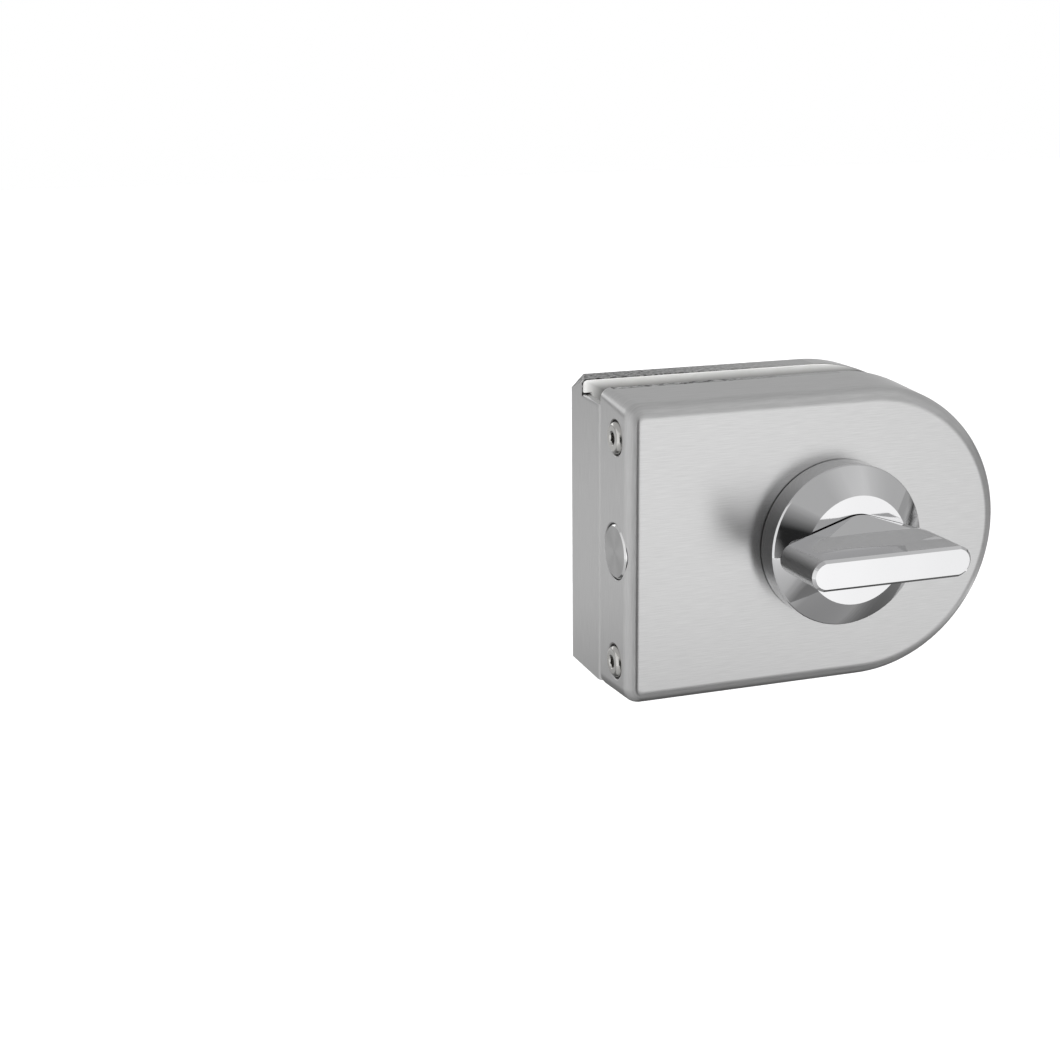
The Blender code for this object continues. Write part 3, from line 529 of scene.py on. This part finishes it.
# Cold-headed screw steel, nickel plated: a soft gloss with small dull patches
nickelPlatedSteel = {
    "colour": "#D0CFCC",
    "roughness": (0.11, 0.23),
    "hazeSize": 1.2,
    "hazeDetail": 3.0,
    "waveSize": 1.2,
    "waveDetail": 3.0,
    "waveDepth": 0.004,
    "waveStrength": 0.4,
}


def makeSmoothMetal(name, values):
    material, tree = newMaterial(name)
    position = addNode(tree, "ShaderNodeTexCoord").outputs["Object"]
    wave = stretchedNoise(tree, position, (values["waveSize"],) * 3, values["waveDetail"])
    haze = stretchedNoise(tree, position, (values["hazeSize"],) * 3, values["hazeDetail"])
    rough = addNode(tree, "ShaderNodeMapRange", limits("To", values["roughness"]), {"Value": haze})
    depth = {"Strength": values["waveStrength"], "Distance": values["waveDepth"] * mm}
    bump = addNode(tree, "ShaderNodeBump", depth, {"Height": wave})
    finishMaterial(tree, {"Metallic": 1.0, "Base Color": linear(values["colour"])}, {
        "Roughness": rough.outputs[0],
        "Normal": bump.outputs[0],
    })
    return material


# Stainless bar faced in a lathe: fine rings round its axis, 0.08 mm apart, drawn 0.3 mm apart so they show
turnedStainless = {
    "colour": "#C0C0C0",
    "roughness": (0.27, 0.37),
    "anisotropy": 0.9,
    "ringPitch": 0.3,
    "ringDetail": 2.0,
    "ringDepth": 0.008,
    "ringStrength": 0.5,
}


def makeTurnedStainless():
    values = turnedStainless
    material, tree = newMaterial("turnedStainless")
    position = addNode(tree, "ShaderNodeTexCoord").outputs["Object"]
    centre = (0.0, boltAxis[0], boltAxis[1])
    offset = addNode(tree, "ShaderNodeVectorMath", {1: centre}, {0: position}, operation="SUBTRACT")
    links = {0: offset.outputs[0]}
    flat = addNode(tree, "ShaderNodeVectorMath", {1: (0.0, 1.0, 1.0)}, links, operation="MULTIPLY").outputs[0]
    radius = addNode(tree, "ShaderNodeVectorMath", links={0: flat}, operation="LENGTH").outputs["Value"]
    perMetre = 1 / (values["ringPitch"] * mm)
    turns = addNode(tree, "ShaderNodeMath", {1: perMetre}, {0: radius}, operation="MULTIPLY").outputs[0]
    detail = {"Scale": 1.0, "Detail": values["ringDetail"]}
    rings = addNode(tree, "ShaderNodeTexNoise", detail, {"W": turns}, noise_dimensions="1D").outputs["Fac"]
    depth = {"Strength": values["ringStrength"], "Distance": values["ringDepth"] * mm}
    bump = addNode(tree, "ShaderNodeBump", depth, {"Height": rings})
    rough = addNode(tree, "ShaderNodeMapRange", limits("To", values["roughness"]), {"Value": rings})
    settings = {"Metallic": 1.0, "Base Color": linear(values["colour"]), "Anisotropic": values["anisotropy"]}
    finishMaterial(tree, settings, {
        "Roughness": rough.outputs[0],
        "Normal": bump.outputs[0],
        "Tangent": flat,
    })
    return material


# Zinc die casting as it leaves the mould: grey, satin, with a fine grainy skin 0.4 mm across
zincCasting = {
    "tones": ((0.35, "#8E9093"), (0.65, "#A3A5A8")),
    "cloudSize": 9.0,
    "cloudDetail": 2.0,
    "roughness": (0.36, 0.48),
    "grainSize": 0.4,
    "grainDetail": 3.0,
    "grainDepth": 0.02,
    "grainStrength": 0.5,
}


def makeZincCasting():
    values = zincCasting
    material, tree = newMaterial("zincCasting")
    position = addNode(tree, "ShaderNodeTexCoord").outputs["Object"]
    grain = stretchedNoise(tree, position, (values["grainSize"],) * 3, values["grainDetail"])
    cloud = stretchedNoise(tree, position, (values["cloudSize"],) * 3, values["cloudDetail"])
    colour = addNode(tree, "ShaderNodeValToRGB", links={"Fac": cloud})
    for element, (place, tone) in zip(colour.color_ramp.elements, values["tones"]):
        element.position, element.color = place, linear(tone)
    depth = {"Strength": values["grainStrength"], "Distance": values["grainDepth"] * mm}
    bump = addNode(tree, "ShaderNodeBump", depth, {"Height": grain})
    rough = addNode(tree, "ShaderNodeMapRange", limits("To", values["roughness"]), {"Value": grain})
    finishMaterial(tree, {"Metallic": 1.0}, {
        "Base Color": colour.outputs["Color"],
        "Roughness": rough.outputs[0],
        "Normal": bump.outputs[0],
    })
    return material


# Soft white PVC sheet, extruded and cut: matt, faintly mottled
whitePvc = {
    "tones": ((0.3, "#ECECEA"), (0.7, "#F6F6F5")),
    "ior": 1.53,
    "roughness": (0.48, 0.62),
    "mottleSize": 3.0,
    "mottleDetail": 4.0,
    "mottleDepth": 0.03,
    "mottleStrength": 0.4,
}
# The same sheet in paler tones, with painted shade: it greys over these distances from its edge at the lock
# edge and from its top, where the shade of the slot falls on it
paintedShadePvc = {
    **whitePvc,
    "tones": ((0.3, "#F2F2F0"), (0.7, "#FAFAF9")),
    "greyed": "#7A7A79",
    "greyedFromEdge": (0.4, 4.4),
    "greyedFromTop": (0.2, 2.2),
}
# Natural nylon, turned from bar: slightly warm and waxy
naturalNylon = {
    **whitePvc,
    "tones": ((0.3, "#DEDACE"), (0.7, "#E9E6DC")),
    "roughness": (0.35, 0.49),
    "mottleSize": 2.0,
}


def paintShadeInside(tree, position, colour, values):
    # painted shade: the colour turns grey away from the sheet's two free edges, down in the slot
    place = addNode(tree, "ShaderNodeSeparateXYZ", links={0: position})
    fromEdge = [sealLow.x + distance * mm for distance in values["greyedFromEdge"]]
    fromTop = [sealHigh.z - distance * mm for distance in values["greyedFromTop"]]
    edge = addNode(tree, "ShaderNodeMapRange", limits("From", fromEdge), {"Value": place.outputs["X"]})
    top = addNode(tree, "ShaderNodeMapRange", limits("From", fromTop), {"Value": place.outputs["Z"]})
    links = {0: edge.outputs[0], 1: top.outputs[0]}
    inside = addNode(tree, "ShaderNodeMath", links=links, operation="MINIMUM")
    links = {"Factor": inside.outputs[0], 6: colour}
    return addNode(tree, "ShaderNodeMix", {7: linear(values["greyed"])}, links, data_type="RGBA").outputs[2]


def makePlastic(name, values):
    material, tree = newMaterial(name)
    position = addNode(tree, "ShaderNodeTexCoord").outputs["Object"]
    mottle = stretchedNoise(tree, position, (values["mottleSize"],) * 3, values["mottleDetail"])
    ramp = addNode(tree, "ShaderNodeValToRGB", links={"Fac": mottle})
    for element, (place, tone) in zip(ramp.color_ramp.elements, values["tones"]):
        element.position, element.color = place, linear(tone)
    colour = ramp.outputs["Color"]
    # painted shade of the slot on the rear seal
    if "greyed" in values:
        colour = paintShadeInside(tree, position, colour, values)
    depth = {"Strength": values["mottleStrength"], "Distance": values["mottleDepth"] * mm}
    bump = addNode(tree, "ShaderNodeBump", depth, {"Height": mottle})
    rough = addNode(tree, "ShaderNodeMapRange", limits("To", values["roughness"]), {"Value": mottle})
    finishMaterial(tree, {"IOR": values["ior"]}, {
        "Base Color": colour,
        "Roughness": rough.outputs[0],
        "Normal": bump.outputs[0],
    })
    return material


stainless = makeBrushedStainless()
shearedAndShaded = makeTornAndShadedEdge("shearedEdgeAndShade", shearedEdgeAndShade)
raggedAndShaded = makeTornAndShadedEdge("raggedRimAndShade", raggedRimAndShade)
chrome = makeSmoothMetal("polishedChrome", polishedChrome)
ground = makeSmoothMetal("groundStainless", groundStainless)
turned = makeTurnedStainless()
nickel = makeSmoothMetal("nickelPlatedSteel", nickelPlatedSteel)
zinc = makeZincCasting()
pvc = makePlastic("whitePvc", whitePvc)
# the rear seal's sheet, with painted shade in the slot
paintedShadeSeal = makePlastic("paintedShadePvc", paintedShadePvc)
nylon = makePlastic("naturalNylon", naturalNylon)
finishes = {
    "front_cover": stainless,
    "rear_cover": stainless,
    "rosette": chrome,
    "thumb_turn": chrome,
    "bolt": turned,
    "lock_case": zinc,
    "crank_hub": zinc,
    "rear_base_plate": zinc,
    "front_gasket": pvc,
    # the rear seal carries painted shade of the slot
    "rear_gasket": paintedShadeSeal,
}
# the glass sleeves are nylon, and every other piece is plated steel
for name, node in nodes.items():
    finish = finishes.get(name, nylon if name.startswith("glass_sleeve") else nickel)
    node.data.materials.clear()
    node.data.materials.append(finish)
print("materials made")


def inMetres(piece):
    # the lengths of a piece, which its dictionary gives in millimetres as decimal numbers
    return {key: value * mm for key, value in piece.items() if isinstance(value, float)}


def newPiece(name, mesh, finish, sharpAngle=35):
    # the mesh becomes an object that is smooth except at edges sharper than sharpAngle
    bmesh.ops.remove_doubles(mesh, verts=mesh.verts, dist=mergeDistance)
    bmesh.ops.recalc_face_normals(mesh, faces=mesh.faces)
    data = bpy.data.meshes.new(name)
    mesh.to_mesh(data)
    mesh.free()
    data.shade_smooth()
    data.set_sharp_from_angle(angle=math.radians(sharpAngle))
    if finish:
        data.materials.append(finish)
    piece = bpy.data.objects.new(name, data)
    bpy.context.scene.collection.objects.link(piece)
    return piece


def finishPiece(piece, body, node):
    # flat faces stay flat beside rounded edges; the piece rides on its body and stands for its CAD node
    weighted = piece.modifiers.new("weightedNormals", "WEIGHTED_NORMAL")
    weighted.keep_sharp = True
    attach(piece, body)
    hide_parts(node)


def carve(piece, tools, sharpAngle=35):
    # each tool is (mesh, operation); the result is applied, and the tools are removed
    spare = []
    for number, (mesh, operation) in enumerate(tools):
        tool = newPiece(f"{piece.name}Tool{number}", mesh, None)
        modifier = piece.modifiers.new(tool.name, "BOOLEAN")
        modifier.operation = operation
        modifier.object = tool
        spare.append(tool)
    graph = bpy.context.evaluated_depsgraph_get()
    made = bpy.data.meshes.new_from_object(piece.evaluated_get(graph))
    piece.modifiers.clear()
    old = piece.data
    piece.data = made
    bpy.data.meshes.remove(old)
    made.name = piece.name
    for tool in spare:
        bpy.data.meshes.remove(tool.data)
    made.shade_smooth()
    made.set_sharp_from_angle(angle=math.radians(sharpAngle))


def cutAt(mesh, place, direction, removeBeyond=False):
    everything = mesh.verts[:] + mesh.edges[:] + mesh.faces[:]
    bmesh.ops.bisect_plane(
        mesh, geom=everything, dist=cutTolerance, plane_co=place, plane_no=direction, clear_outer=removeBeyond
    )


def spunShape(profile, centre, axis, steps):
    # profile of (radius, place along the axis) round an axis parallel to X or Y, in metres
    along = Vector((1, 0, 0)) if axis == "X" else Vector((0, 1, 0))
    outward = Vector((0, 0, 1))
    mesh = bmesh.new()
    verts = [mesh.verts.new(Vector(centre) + along * place + outward * radius) for radius, place in profile]
    edges = [mesh.edges.new(pair) for pair in zip(verts, verts[1:])]
    bmesh.ops.spin(
        mesh, geom=verts + edges, cent=centre, axis=along, angle=2 * math.pi, steps=steps, use_merge=True
    )
    bmesh.ops.remove_doubles(mesh, verts=mesh.verts, dist=mergeDistance)
    bmesh.ops.holes_fill(mesh, edges=mesh.edges, sides=0)
    bmesh.ops.recalc_face_normals(mesh, faces=mesh.faces)
    return mesh


def dOutline(mesh, y, corner, cornerSteps, roundSteps=72):
    # the lock's outline as one flat face: a half circle on the right, and two corners at the lock edge
    start = mesh.verts.new((roundX, y, middleZ - halfHeight))
    half = bmesh.ops.spin(
        mesh, geom=[start], cent=(roundX, y, middleZ), axis=(0, 1, 0), angle=-math.pi, steps=roundSteps
    )
    end = next(item for item in half["geom_last"] if isinstance(item, bmesh.types.BMVert))
    top = mesh.verts.new((coverLow.x, y, middleZ + halfHeight))
    bottom = mesh.verts.new((coverLow.x, y, middleZ - halfHeight))
    for pair in ((end, top), (top, bottom), (bottom, start)):
        mesh.edges.new(pair)
    bmesh.ops.contextual_create(mesh, geom=mesh.edges[:])
    if corner:
        bmesh.ops.bevel(
            mesh, geom=[top, bottom], affect="VERTICES", offset=corner,
            segments=cornerSteps, profile=0.5, material=-1,
        )


# Front cover: deep pressed shell with flaring walls, dished screw seats and a soft-lipped bolt hole
frontCover = {
    "sheet": 1.2,
    "fillet": 3.2,
    "corner": 3.8,
    "rimCorner": 2.2,
    "draft": 1.2,
    "seatRadius": 3.9,
    "seatDepth": 1.4,
    "seatLip": 0.35,
    "screwHoleRadius": 2.3,
    "screwHoleDepth": 4.0,
    "boltHoleRadius": 6.2,
    "boltHoleLip": 0.25,
    "spindleHoleRadius": 5.0,
    "rimDepth": 1.0,
    "raggedEdge": 1.6,
    "raggedFrom": 3.0,
    "raggedTo": 44.0,
    "facing": {"up": 0.9},
    "steps": {"fillet": 12, "corner": 8, "seat": 64, "screwHole": 32, "boltHole": 96, "spindleHole": 48},
}
lipAngles = (0.4, 0.8, 1.2, math.pi / 2)
toolReach = 1.0 * mm  # how far a cutting tool stands out of the wall that it cuts


def softHole(radius, lip, depth):
    # profile of a hole whose mouth is widened and rounded by its lip
    profile = [(radius + lip, -toolReach), (radius + lip, 0)]
    profile += [(radius + lip * (1 - math.sin(a)), lip * (1 - math.cos(a))) for a in lipAngles]
    return profile + [(radius, depth)]


def shapeFrontCover(values, steps):
    # the shell with its rolled edge and its walls, open at the rear
    mesh = bmesh.new()
    dOutline(mesh, coverHigh.y, values["corner"], steps["corner"])
    pushed = bmesh.ops.extrude_face_region(mesh, geom=mesh.faces[:])["geom"]
    front = [item for item in pushed if isinstance(item, bmesh.types.BMVert)]
    frontFace = next(item for item in pushed if isinstance(item, bmesh.types.BMFace))
    bmesh.ops.translate(mesh, verts=front, vec=(0, coverLow.y - coverHigh.y, 0))
    # the walls flare from the front to the rim
    flare = (halfHeight - values["draft"]) / halfHeight
    bmesh.ops.scale(mesh, verts=front, vec=(1, 1, flare), space=Matrix.Translation((0, 0, -middleZ)))
    roundEnd = [vert for vert in front if vert.co.x > roundX]
    bmesh.ops.scale(mesh, verts=roundEnd, vec=(flare, 1, 1), space=Matrix.Translation((-roundX, 0, 0)))
    # the upper corner at the lock edge is tighter at the rim than at the front
    rimFrom = coverHigh.y - values["rimDepth"]
    cornerTo = coverLow.x + values["corner"] + near
    upperCorner = [
        vert for vert in mesh.verts
        if vert.co.y > rimFrom and vert.co.x < cornerTo and vert.co.z > middleZ
    ]
    tighter = values["rimCorner"] / values["corner"]
    fixed = Vector((coverLow.x, 0, middleZ + halfHeight))
    bmesh.ops.scale(mesh, verts=upperCorner, vec=(tighter, 1, tighter), space=Matrix.Translation(-fixed))
    rim = [face for face in mesh.faces if face.calc_center_median().y > rimFrom]
    bmesh.ops.delete(mesh, geom=rim, context="FACES_ONLY")
    bmesh.ops.bevel(
        mesh, geom=frontFace.edges[:], affect="EDGES", offset=values["fillet"],
        segments=steps["fillet"], profile=0.5, material=-1, clamp_overlap=False,
    )
    bmesh.ops.recalc_face_normals(mesh, faces=mesh.faces)
    bmesh.ops.solidify(mesh, geom=mesh.faces[:], thickness=values["sheet"])
    cutAt(mesh, (0, coverHigh.y - values["raggedEdge"], 0), (0, 1, 0))
    return mesh


def buildFrontCover():
    values, steps = inMetres(frontCover), frontCover["steps"]
    cover = newPiece("frontCover", shapeFrontCover(values, steps), stainless)
    tools = []
    for place in screwPlaces.values():
        radius = values["seatRadius"] + values["sheet"]
        boss = [(radius, values["sheet"] / 2), (radius, values["seatDepth"] + values["sheet"])]
        tools.append((spunShape(boss, place, "X", steps["seat"]), "UNION"))
    for place in screwPlaces.values():
        recess = softHole(values["seatRadius"], values["seatLip"], values["seatDepth"])
        tools.append((spunShape(recess, place, "X", steps["seat"]), "DIFFERENCE"))
        bore = [(values["screwHoleRadius"], 0), (values["screwHoleRadius"], values["screwHoleDepth"])]
        tools.append((spunShape(bore, place, "X", steps["screwHole"]), "DIFFERENCE"))
    hole = softHole(values["boltHoleRadius"], values["boltHoleLip"], values["fillet"])
    tools.append((spunShape(hole, (coverLow.x, *boltAxis), "X", steps["boltHole"]), "DIFFERENCE"))
    spindle = [(values["spindleHoleRadius"], -toolReach), (values["spindleHoleRadius"], 2 * values["sheet"])]
    spindlePlace = (turnAxis[0], coverLow.y, turnAxis[1])
    tools.append((spunShape(spindle, spindlePlace, "Y", steps["spindleHole"]), "DIFFERENCE"))
    carve(cover, tools)

    # along the top the rim is ragged from trimming, and its dark crumbs are partly painted shade of the gap
    # behind the rim
    up = frontCover["facing"]["up"]
    cover.data.materials.append(raggedAndShaded)
    for face in cover.data.polygons:
        along = face.center.x - coverLow.x
        onRim = face.center.y > coverHigh.y - values["raggedEdge"] and face.normal.z > up
        face.material_index = 1 if onRim and values["raggedFrom"] < along < values["raggedTo"] else 0
    finishPiece(cover, "lock_body", "front_cover")


# Rear cover: shallow pressed tray, its two corners cut off, with a flange bent forward over the glass edge.
# A face that faces up or forward by more than the given share is part of the sheared rim.
rearCover = {
    "depth": 7.4,
    "sheet": 1.5,
    "topCornerCut": 3.1,
    "topRimCornerCut": 0.6,
    "lowCornerCut": 1.6,
    "rearRound": 1.0,
    "flangeRound": 1.4,
    "flangeTaper": 0.7,
    "flangeLip": 0.9,
    "rimDepth": 1.0,
    "longEdge": 5.0,
    "facing": {"up": 0.3, "front": 0.9},
    "steps": {"rearRound": 6, "flangeRound": 8, "flangeLip": 5},
}


def shapeTray(values, steps):
    rimY, cut = rearHigh.y - values["depth"], values["topCornerCut"]
    mesh = bmesh.new()
    dOutline(mesh, rimY, 0.0, 1)
    pushed = bmesh.ops.extrude_face_region(mesh, geom=mesh.faces[:])["geom"]
    rear = [item for item in pushed if isinstance(item, bmesh.types.BMVert)]
    bmesh.ops.translate(mesh, verts=rear, vec=(0, values["depth"], 0))
    upright = [edge for edge in mesh.edges if all(vert.co.x < coverLow.x + near for vert in edge.verts)]
    corners = [edge for edge in upright if abs(edge.verts[0].co.y - edge.verts[1].co.y) > values["rimDepth"]]
    for edge in corners:
        offset = cut if edge.verts[0].co.z > middleZ else values["lowCornerCut"]
        bmesh.ops.bevel(
            mesh, geom=[edge], affect="EDGES", offset=offset, segments=1, profile=0.5, material=-1
        )
    # the upper cut runs out towards the rim
    grow = cut - values["topRimCornerCut"]
    upperRim = [vert for vert in mesh.verts if vert.co.y < rimY + near and vert.co.z > middleZ]
    onWall = [vert for vert in upperRim if vert.co.x < coverLow.x + near]
    onTop = [vert for vert in upperRim if abs(vert.co.x - coverLow.x - cut) < near]
    bmesh.ops.translate(mesh, verts=onWall, vec=(0, 0, grow))
    bmesh.ops.translate(mesh, verts=onTop, vec=(-grow, 0, 0))
    rim = [face for face in mesh.faces if all(vert.co.y < rimY + near for vert in face.verts)]
    back = [edge for edge in mesh.edges if all(vert.co.y > rearHigh.y - near for vert in edge.verts)]
    bmesh.ops.delete(mesh, geom=rim, context="FACES_ONLY")
    bmesh.ops.bevel(
        mesh, geom=back, affect="EDGES", offset=values["rearRound"],
        segments=steps["rearRound"], profile=0.5, material=-1,
    )
    bmesh.ops.recalc_face_normals(mesh, faces=mesh.faces)
    bmesh.ops.solidify(mesh, geom=mesh.faces[:], thickness=values["sheet"])
    return mesh


def shapeFlange(values, steps):
    rimY, sheet = rearHigh.y - values["depth"], values["sheet"]
    cut, lowCut = values["topCornerCut"], values["lowCornerCut"]
    mesh = bmesh.new()
    bmesh.ops.create_cube(mesh, size=1.0)
    long, tall = rimY + sheet - rearLow.y, 2 * halfHeight - cut - lowCut
    bmesh.ops.scale(mesh, verts=mesh.verts, vec=(sheet, long, tall))
    middle = Vector((coverLow.x + sheet / 2, rearLow.y + long / 2, middleZ + (lowCut - cut) / 2))
    bmesh.ops.translate(mesh, verts=mesh.verts, vec=middle)
    upperFront = [vert for vert in mesh.verts if vert.co.y < middle.y and vert.co.z > middleZ]
    bmesh.ops.translate(mesh, verts=upperFront, vec=(0, 0, -values["flangeTaper"]))
    forward = [edge for edge in mesh.edges if all(vert.co.y < middle.y for vert in edge.verts)]
    fold = [edge for edge in forward if all(vert.co.x < middle.x for vert in edge.verts)]
    bmesh.ops.bevel(
        mesh, geom=fold, affect="EDGES", offset=values["flangeRound"],
        segments=steps["flangeRound"], profile=0.5, material=-1,
    )
    outer = [edge for edge in mesh.edges if all(vert.co.x < coverLow.x + near for vert in edge.verts)]
    upper = [edge for edge in outer if all(vert.co.z > middleZ for vert in edge.verts)]
    lip = [edge for edge in upper if edge.calc_length() > values["longEdge"]]
    bmesh.ops.bevel(
        mesh, geom=lip, affect="EDGES", offset=values["flangeLip"],
        segments=steps["flangeLip"], profile=0.5, material=-1,
    )
    return mesh


def buildRearCover():
    values, steps, facing = inMetres(rearCover), rearCover["steps"], rearCover["facing"]
    tray = newPiece("rearCover", shapeTray(values, steps), stainless)
    carve(tray, [(shapeFlange(values, steps), "UNION")])
    # the rim and the tray's top keep the torn look of the shear, whose dark crumbs are partly painted shade
    # of the gap under the seal
    rimY = rearHigh.y - values["depth"]
    tray.data.materials.append(shearedAndShaded)
    for face in tray.data.polygons:
        onTop = face.normal.z > facing["up"] and face.center.y > rimY and face.center.x < roundX
        onRim = face.normal.y < -facing["front"] and face.center.y > rimY - values["rimDepth"]
        face.material_index = 1 if onTop or onRim else 0
    finishPiece(tray, "lock_body", "rear_cover")


# Cover screws: button heads, flat round the socket and rounded down to the seat
coverScrew = {
    "headRadius": 3.55,
    "flatRadius": 2.5,
    "proud": 0.75,
    "seatAt": 1.1,
    "rimHeight": 0.3,
    "shankRadius": 2.0,
    "length": 8.0,
    "socket": 2.5,
    "socketDepth": 2.1,
    "socketEdge": 0.15,
    "sharpAngle": 30,
    "steps": {"head": 72, "dome": 12, "lead": 48, "sides": 6},
}


def buildCoverScrew(name, node, place):
    values, steps, sharpAngle = inMetres(coverScrew), coverScrew["steps"], coverScrew["sharpAngle"]
    head, flat, proud, seat = values["headRadius"], values["flatRadius"], values["proud"], values["seatAt"]
    # quarter ellipse from the flat to the rim
    angles = [math.radians(90 / steps["dome"] * i) for i in range(steps["dome"] + 1)]
    wide, deep = head - flat, proud + seat - values["rimHeight"]
    dome = [(flat + wide * math.sin(a), -proud + deep * (1 - math.cos(a))) for a in angles]
    shank = [(values["shankRadius"], seat), (values["shankRadius"], seat + values["length"])]
    outside = spunShape(dome + [(head, seat)] + shank, place, "X", steps["head"])
    screw = newPiece(name, outside, nickel, sharpAngle)
    across = values["socket"] / math.sqrt(3)
    socket = [(across, -2 * toolReach), (across, values["socketDepth"] - proud)]
    edge = values["socketEdge"]
    lead = [(across + 2 * edge, -proud - edge), (across - edge, -proud + 2 * edge)]
    tools = [
        (spunShape(socket, place, "X", steps["sides"]), "DIFFERENCE"),
        (spunShape(lead, place, "X", steps["lead"]), "DIFFERENCE"),
    ]
    carve(screw, tools, sharpAngle)
    finishPiece(screw, "lock_body", node)


# Other pieces, merged and smoothed from the solids they stand for, with the angle of their sharp edges
smoothPieces = {
    "rosetteShell": {"node": "rosette", "angle": 25},
    "turnKnob": {"node": "thumb_turn", "angle": 30},
    "boltBar": {"node": "bolt", "angle": 30},
    "frontSeal": {"node": "front_gasket", "angle": 30},
    "rearSeal": {"node": "rear_gasket", "angle": 30, "snip": 1.4},
}
sleeves = [name for name in nodes if name.startswith("glass_sleeve")]
for number, name in enumerate(sleeves, 1):
    smoothPieces[f"glassSleeve{number}"] = {"node": name, "angle": 30}
# The bolt's nose stands just out of the lock edge, with a bright chamfer and a lathe centre mark. Faces
# further from its axis than groundFrom are its ground side.
boltNose = {
    "proud": 0.1,
    "cutBack": 1.4,
    "chamfer": 0.4,
    "markRadius": 0.5,
    "markTip": 0.025,
    "markDepth": 0.15,
    "groundFrom": 5.52,
}


def turnNose(mesh):
    # the end of the bar is cut off and built up again by extruding its open loop
    values = inMetres(boltNose)
    flatX = coverLow.x - values["proud"]
    axis = Vector((flatX, *boltAxis))
    cutAt(mesh, (flatX + values["cutBack"], 0, 0), (-1, 0, 0), removeBeyond=True)
    loop = [edge for edge in mesh.edges if edge.is_boundary]
    rings = [
        (boltRadius, values["chamfer"]),
        (boltRadius - values["chamfer"], 0.0),
        (values["markRadius"], 0.0),
        (values["markTip"], values["markDepth"]),
    ]
    for radius, depth in rings:
        pushed = bmesh.ops.extrude_edge_only(mesh, edges=loop)["geom"]
        loop = [item for item in pushed if isinstance(item, bmesh.types.BMEdge)]
        ring = [item for item in pushed if isinstance(item, bmesh.types.BMVert)]
        bmesh.ops.translate(mesh, verts=ring, vec=(flatX + depth - ring[0].co.x, 0, 0))
        grow = radius / math.hypot(ring[0].co.y - axis.y, ring[0].co.z - axis.z)
        bmesh.ops.scale(mesh, verts=ring, vec=(1, grow, grow), space=Matrix.Translation(-axis))
    bmesh.ops.contextual_create(mesh, geom=loop)
    bmesh.ops.recalc_face_normals(mesh, faces=mesh.faces)


def snipSeal(mesh, snip):
    # its lower corner at the lock edge is snipped off clear of the tray's
    corner = (coverLow.x + snip, 0, middleZ - halfHeight + snip)
    cutAt(mesh, corner, (-1, 0, -1), removeBeyond=True)
    bmesh.ops.holes_fill(mesh, edges=mesh.edges[:], sides=0)


def buildSmoothPiece(name, values):
    node = nodes[values["node"]]
    mesh = bmesh.new()
    mesh.from_mesh(node.data)
    bmesh.ops.remove_doubles(mesh, verts=mesh.verts, dist=mergeDistance)
    if name == "boltBar":
        turnNose(mesh)
    if "snip" in values:
        snipSeal(mesh, values["snip"] * mm)
    limit = math.radians(values["angle"])
    for face in mesh.faces:
        face.smooth = True
    for edge in mesh.edges:
        edge.smooth = len(edge.link_faces) == 2 and edge.calc_face_angle(0.0) < limit
    data = bpy.data.meshes.new(name)
    mesh.to_mesh(data)
    mesh.free()
    data.materials.append(node.data.materials[0])
    if name == "boltBar":
        data.materials.append(ground)
        for face in data.polygons:
            fromAxis = math.hypot(face.center.y - boltAxis[0], face.center.z - boltAxis[1])
            face.material_index = 1 if fromAxis > boltNose["groundFrom"] * mm else 0
    piece = bpy.data.objects.new(name, data)
    bpy.context.scene.collection.objects.link(piece)
    finishPiece(piece, node["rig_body"], values["node"])


buildFrontCover()
buildRearCover()
for name, node in (("upperCoverScrew", "cover_screw_upper"), ("lowerCoverScrew", "cover_screw_lower")):
    buildCoverScrew(name, node, screwPlaces[node])
for name, values in smoothPieces.items():
    buildSmoothPiece(name, values)
print("outer pieces built")
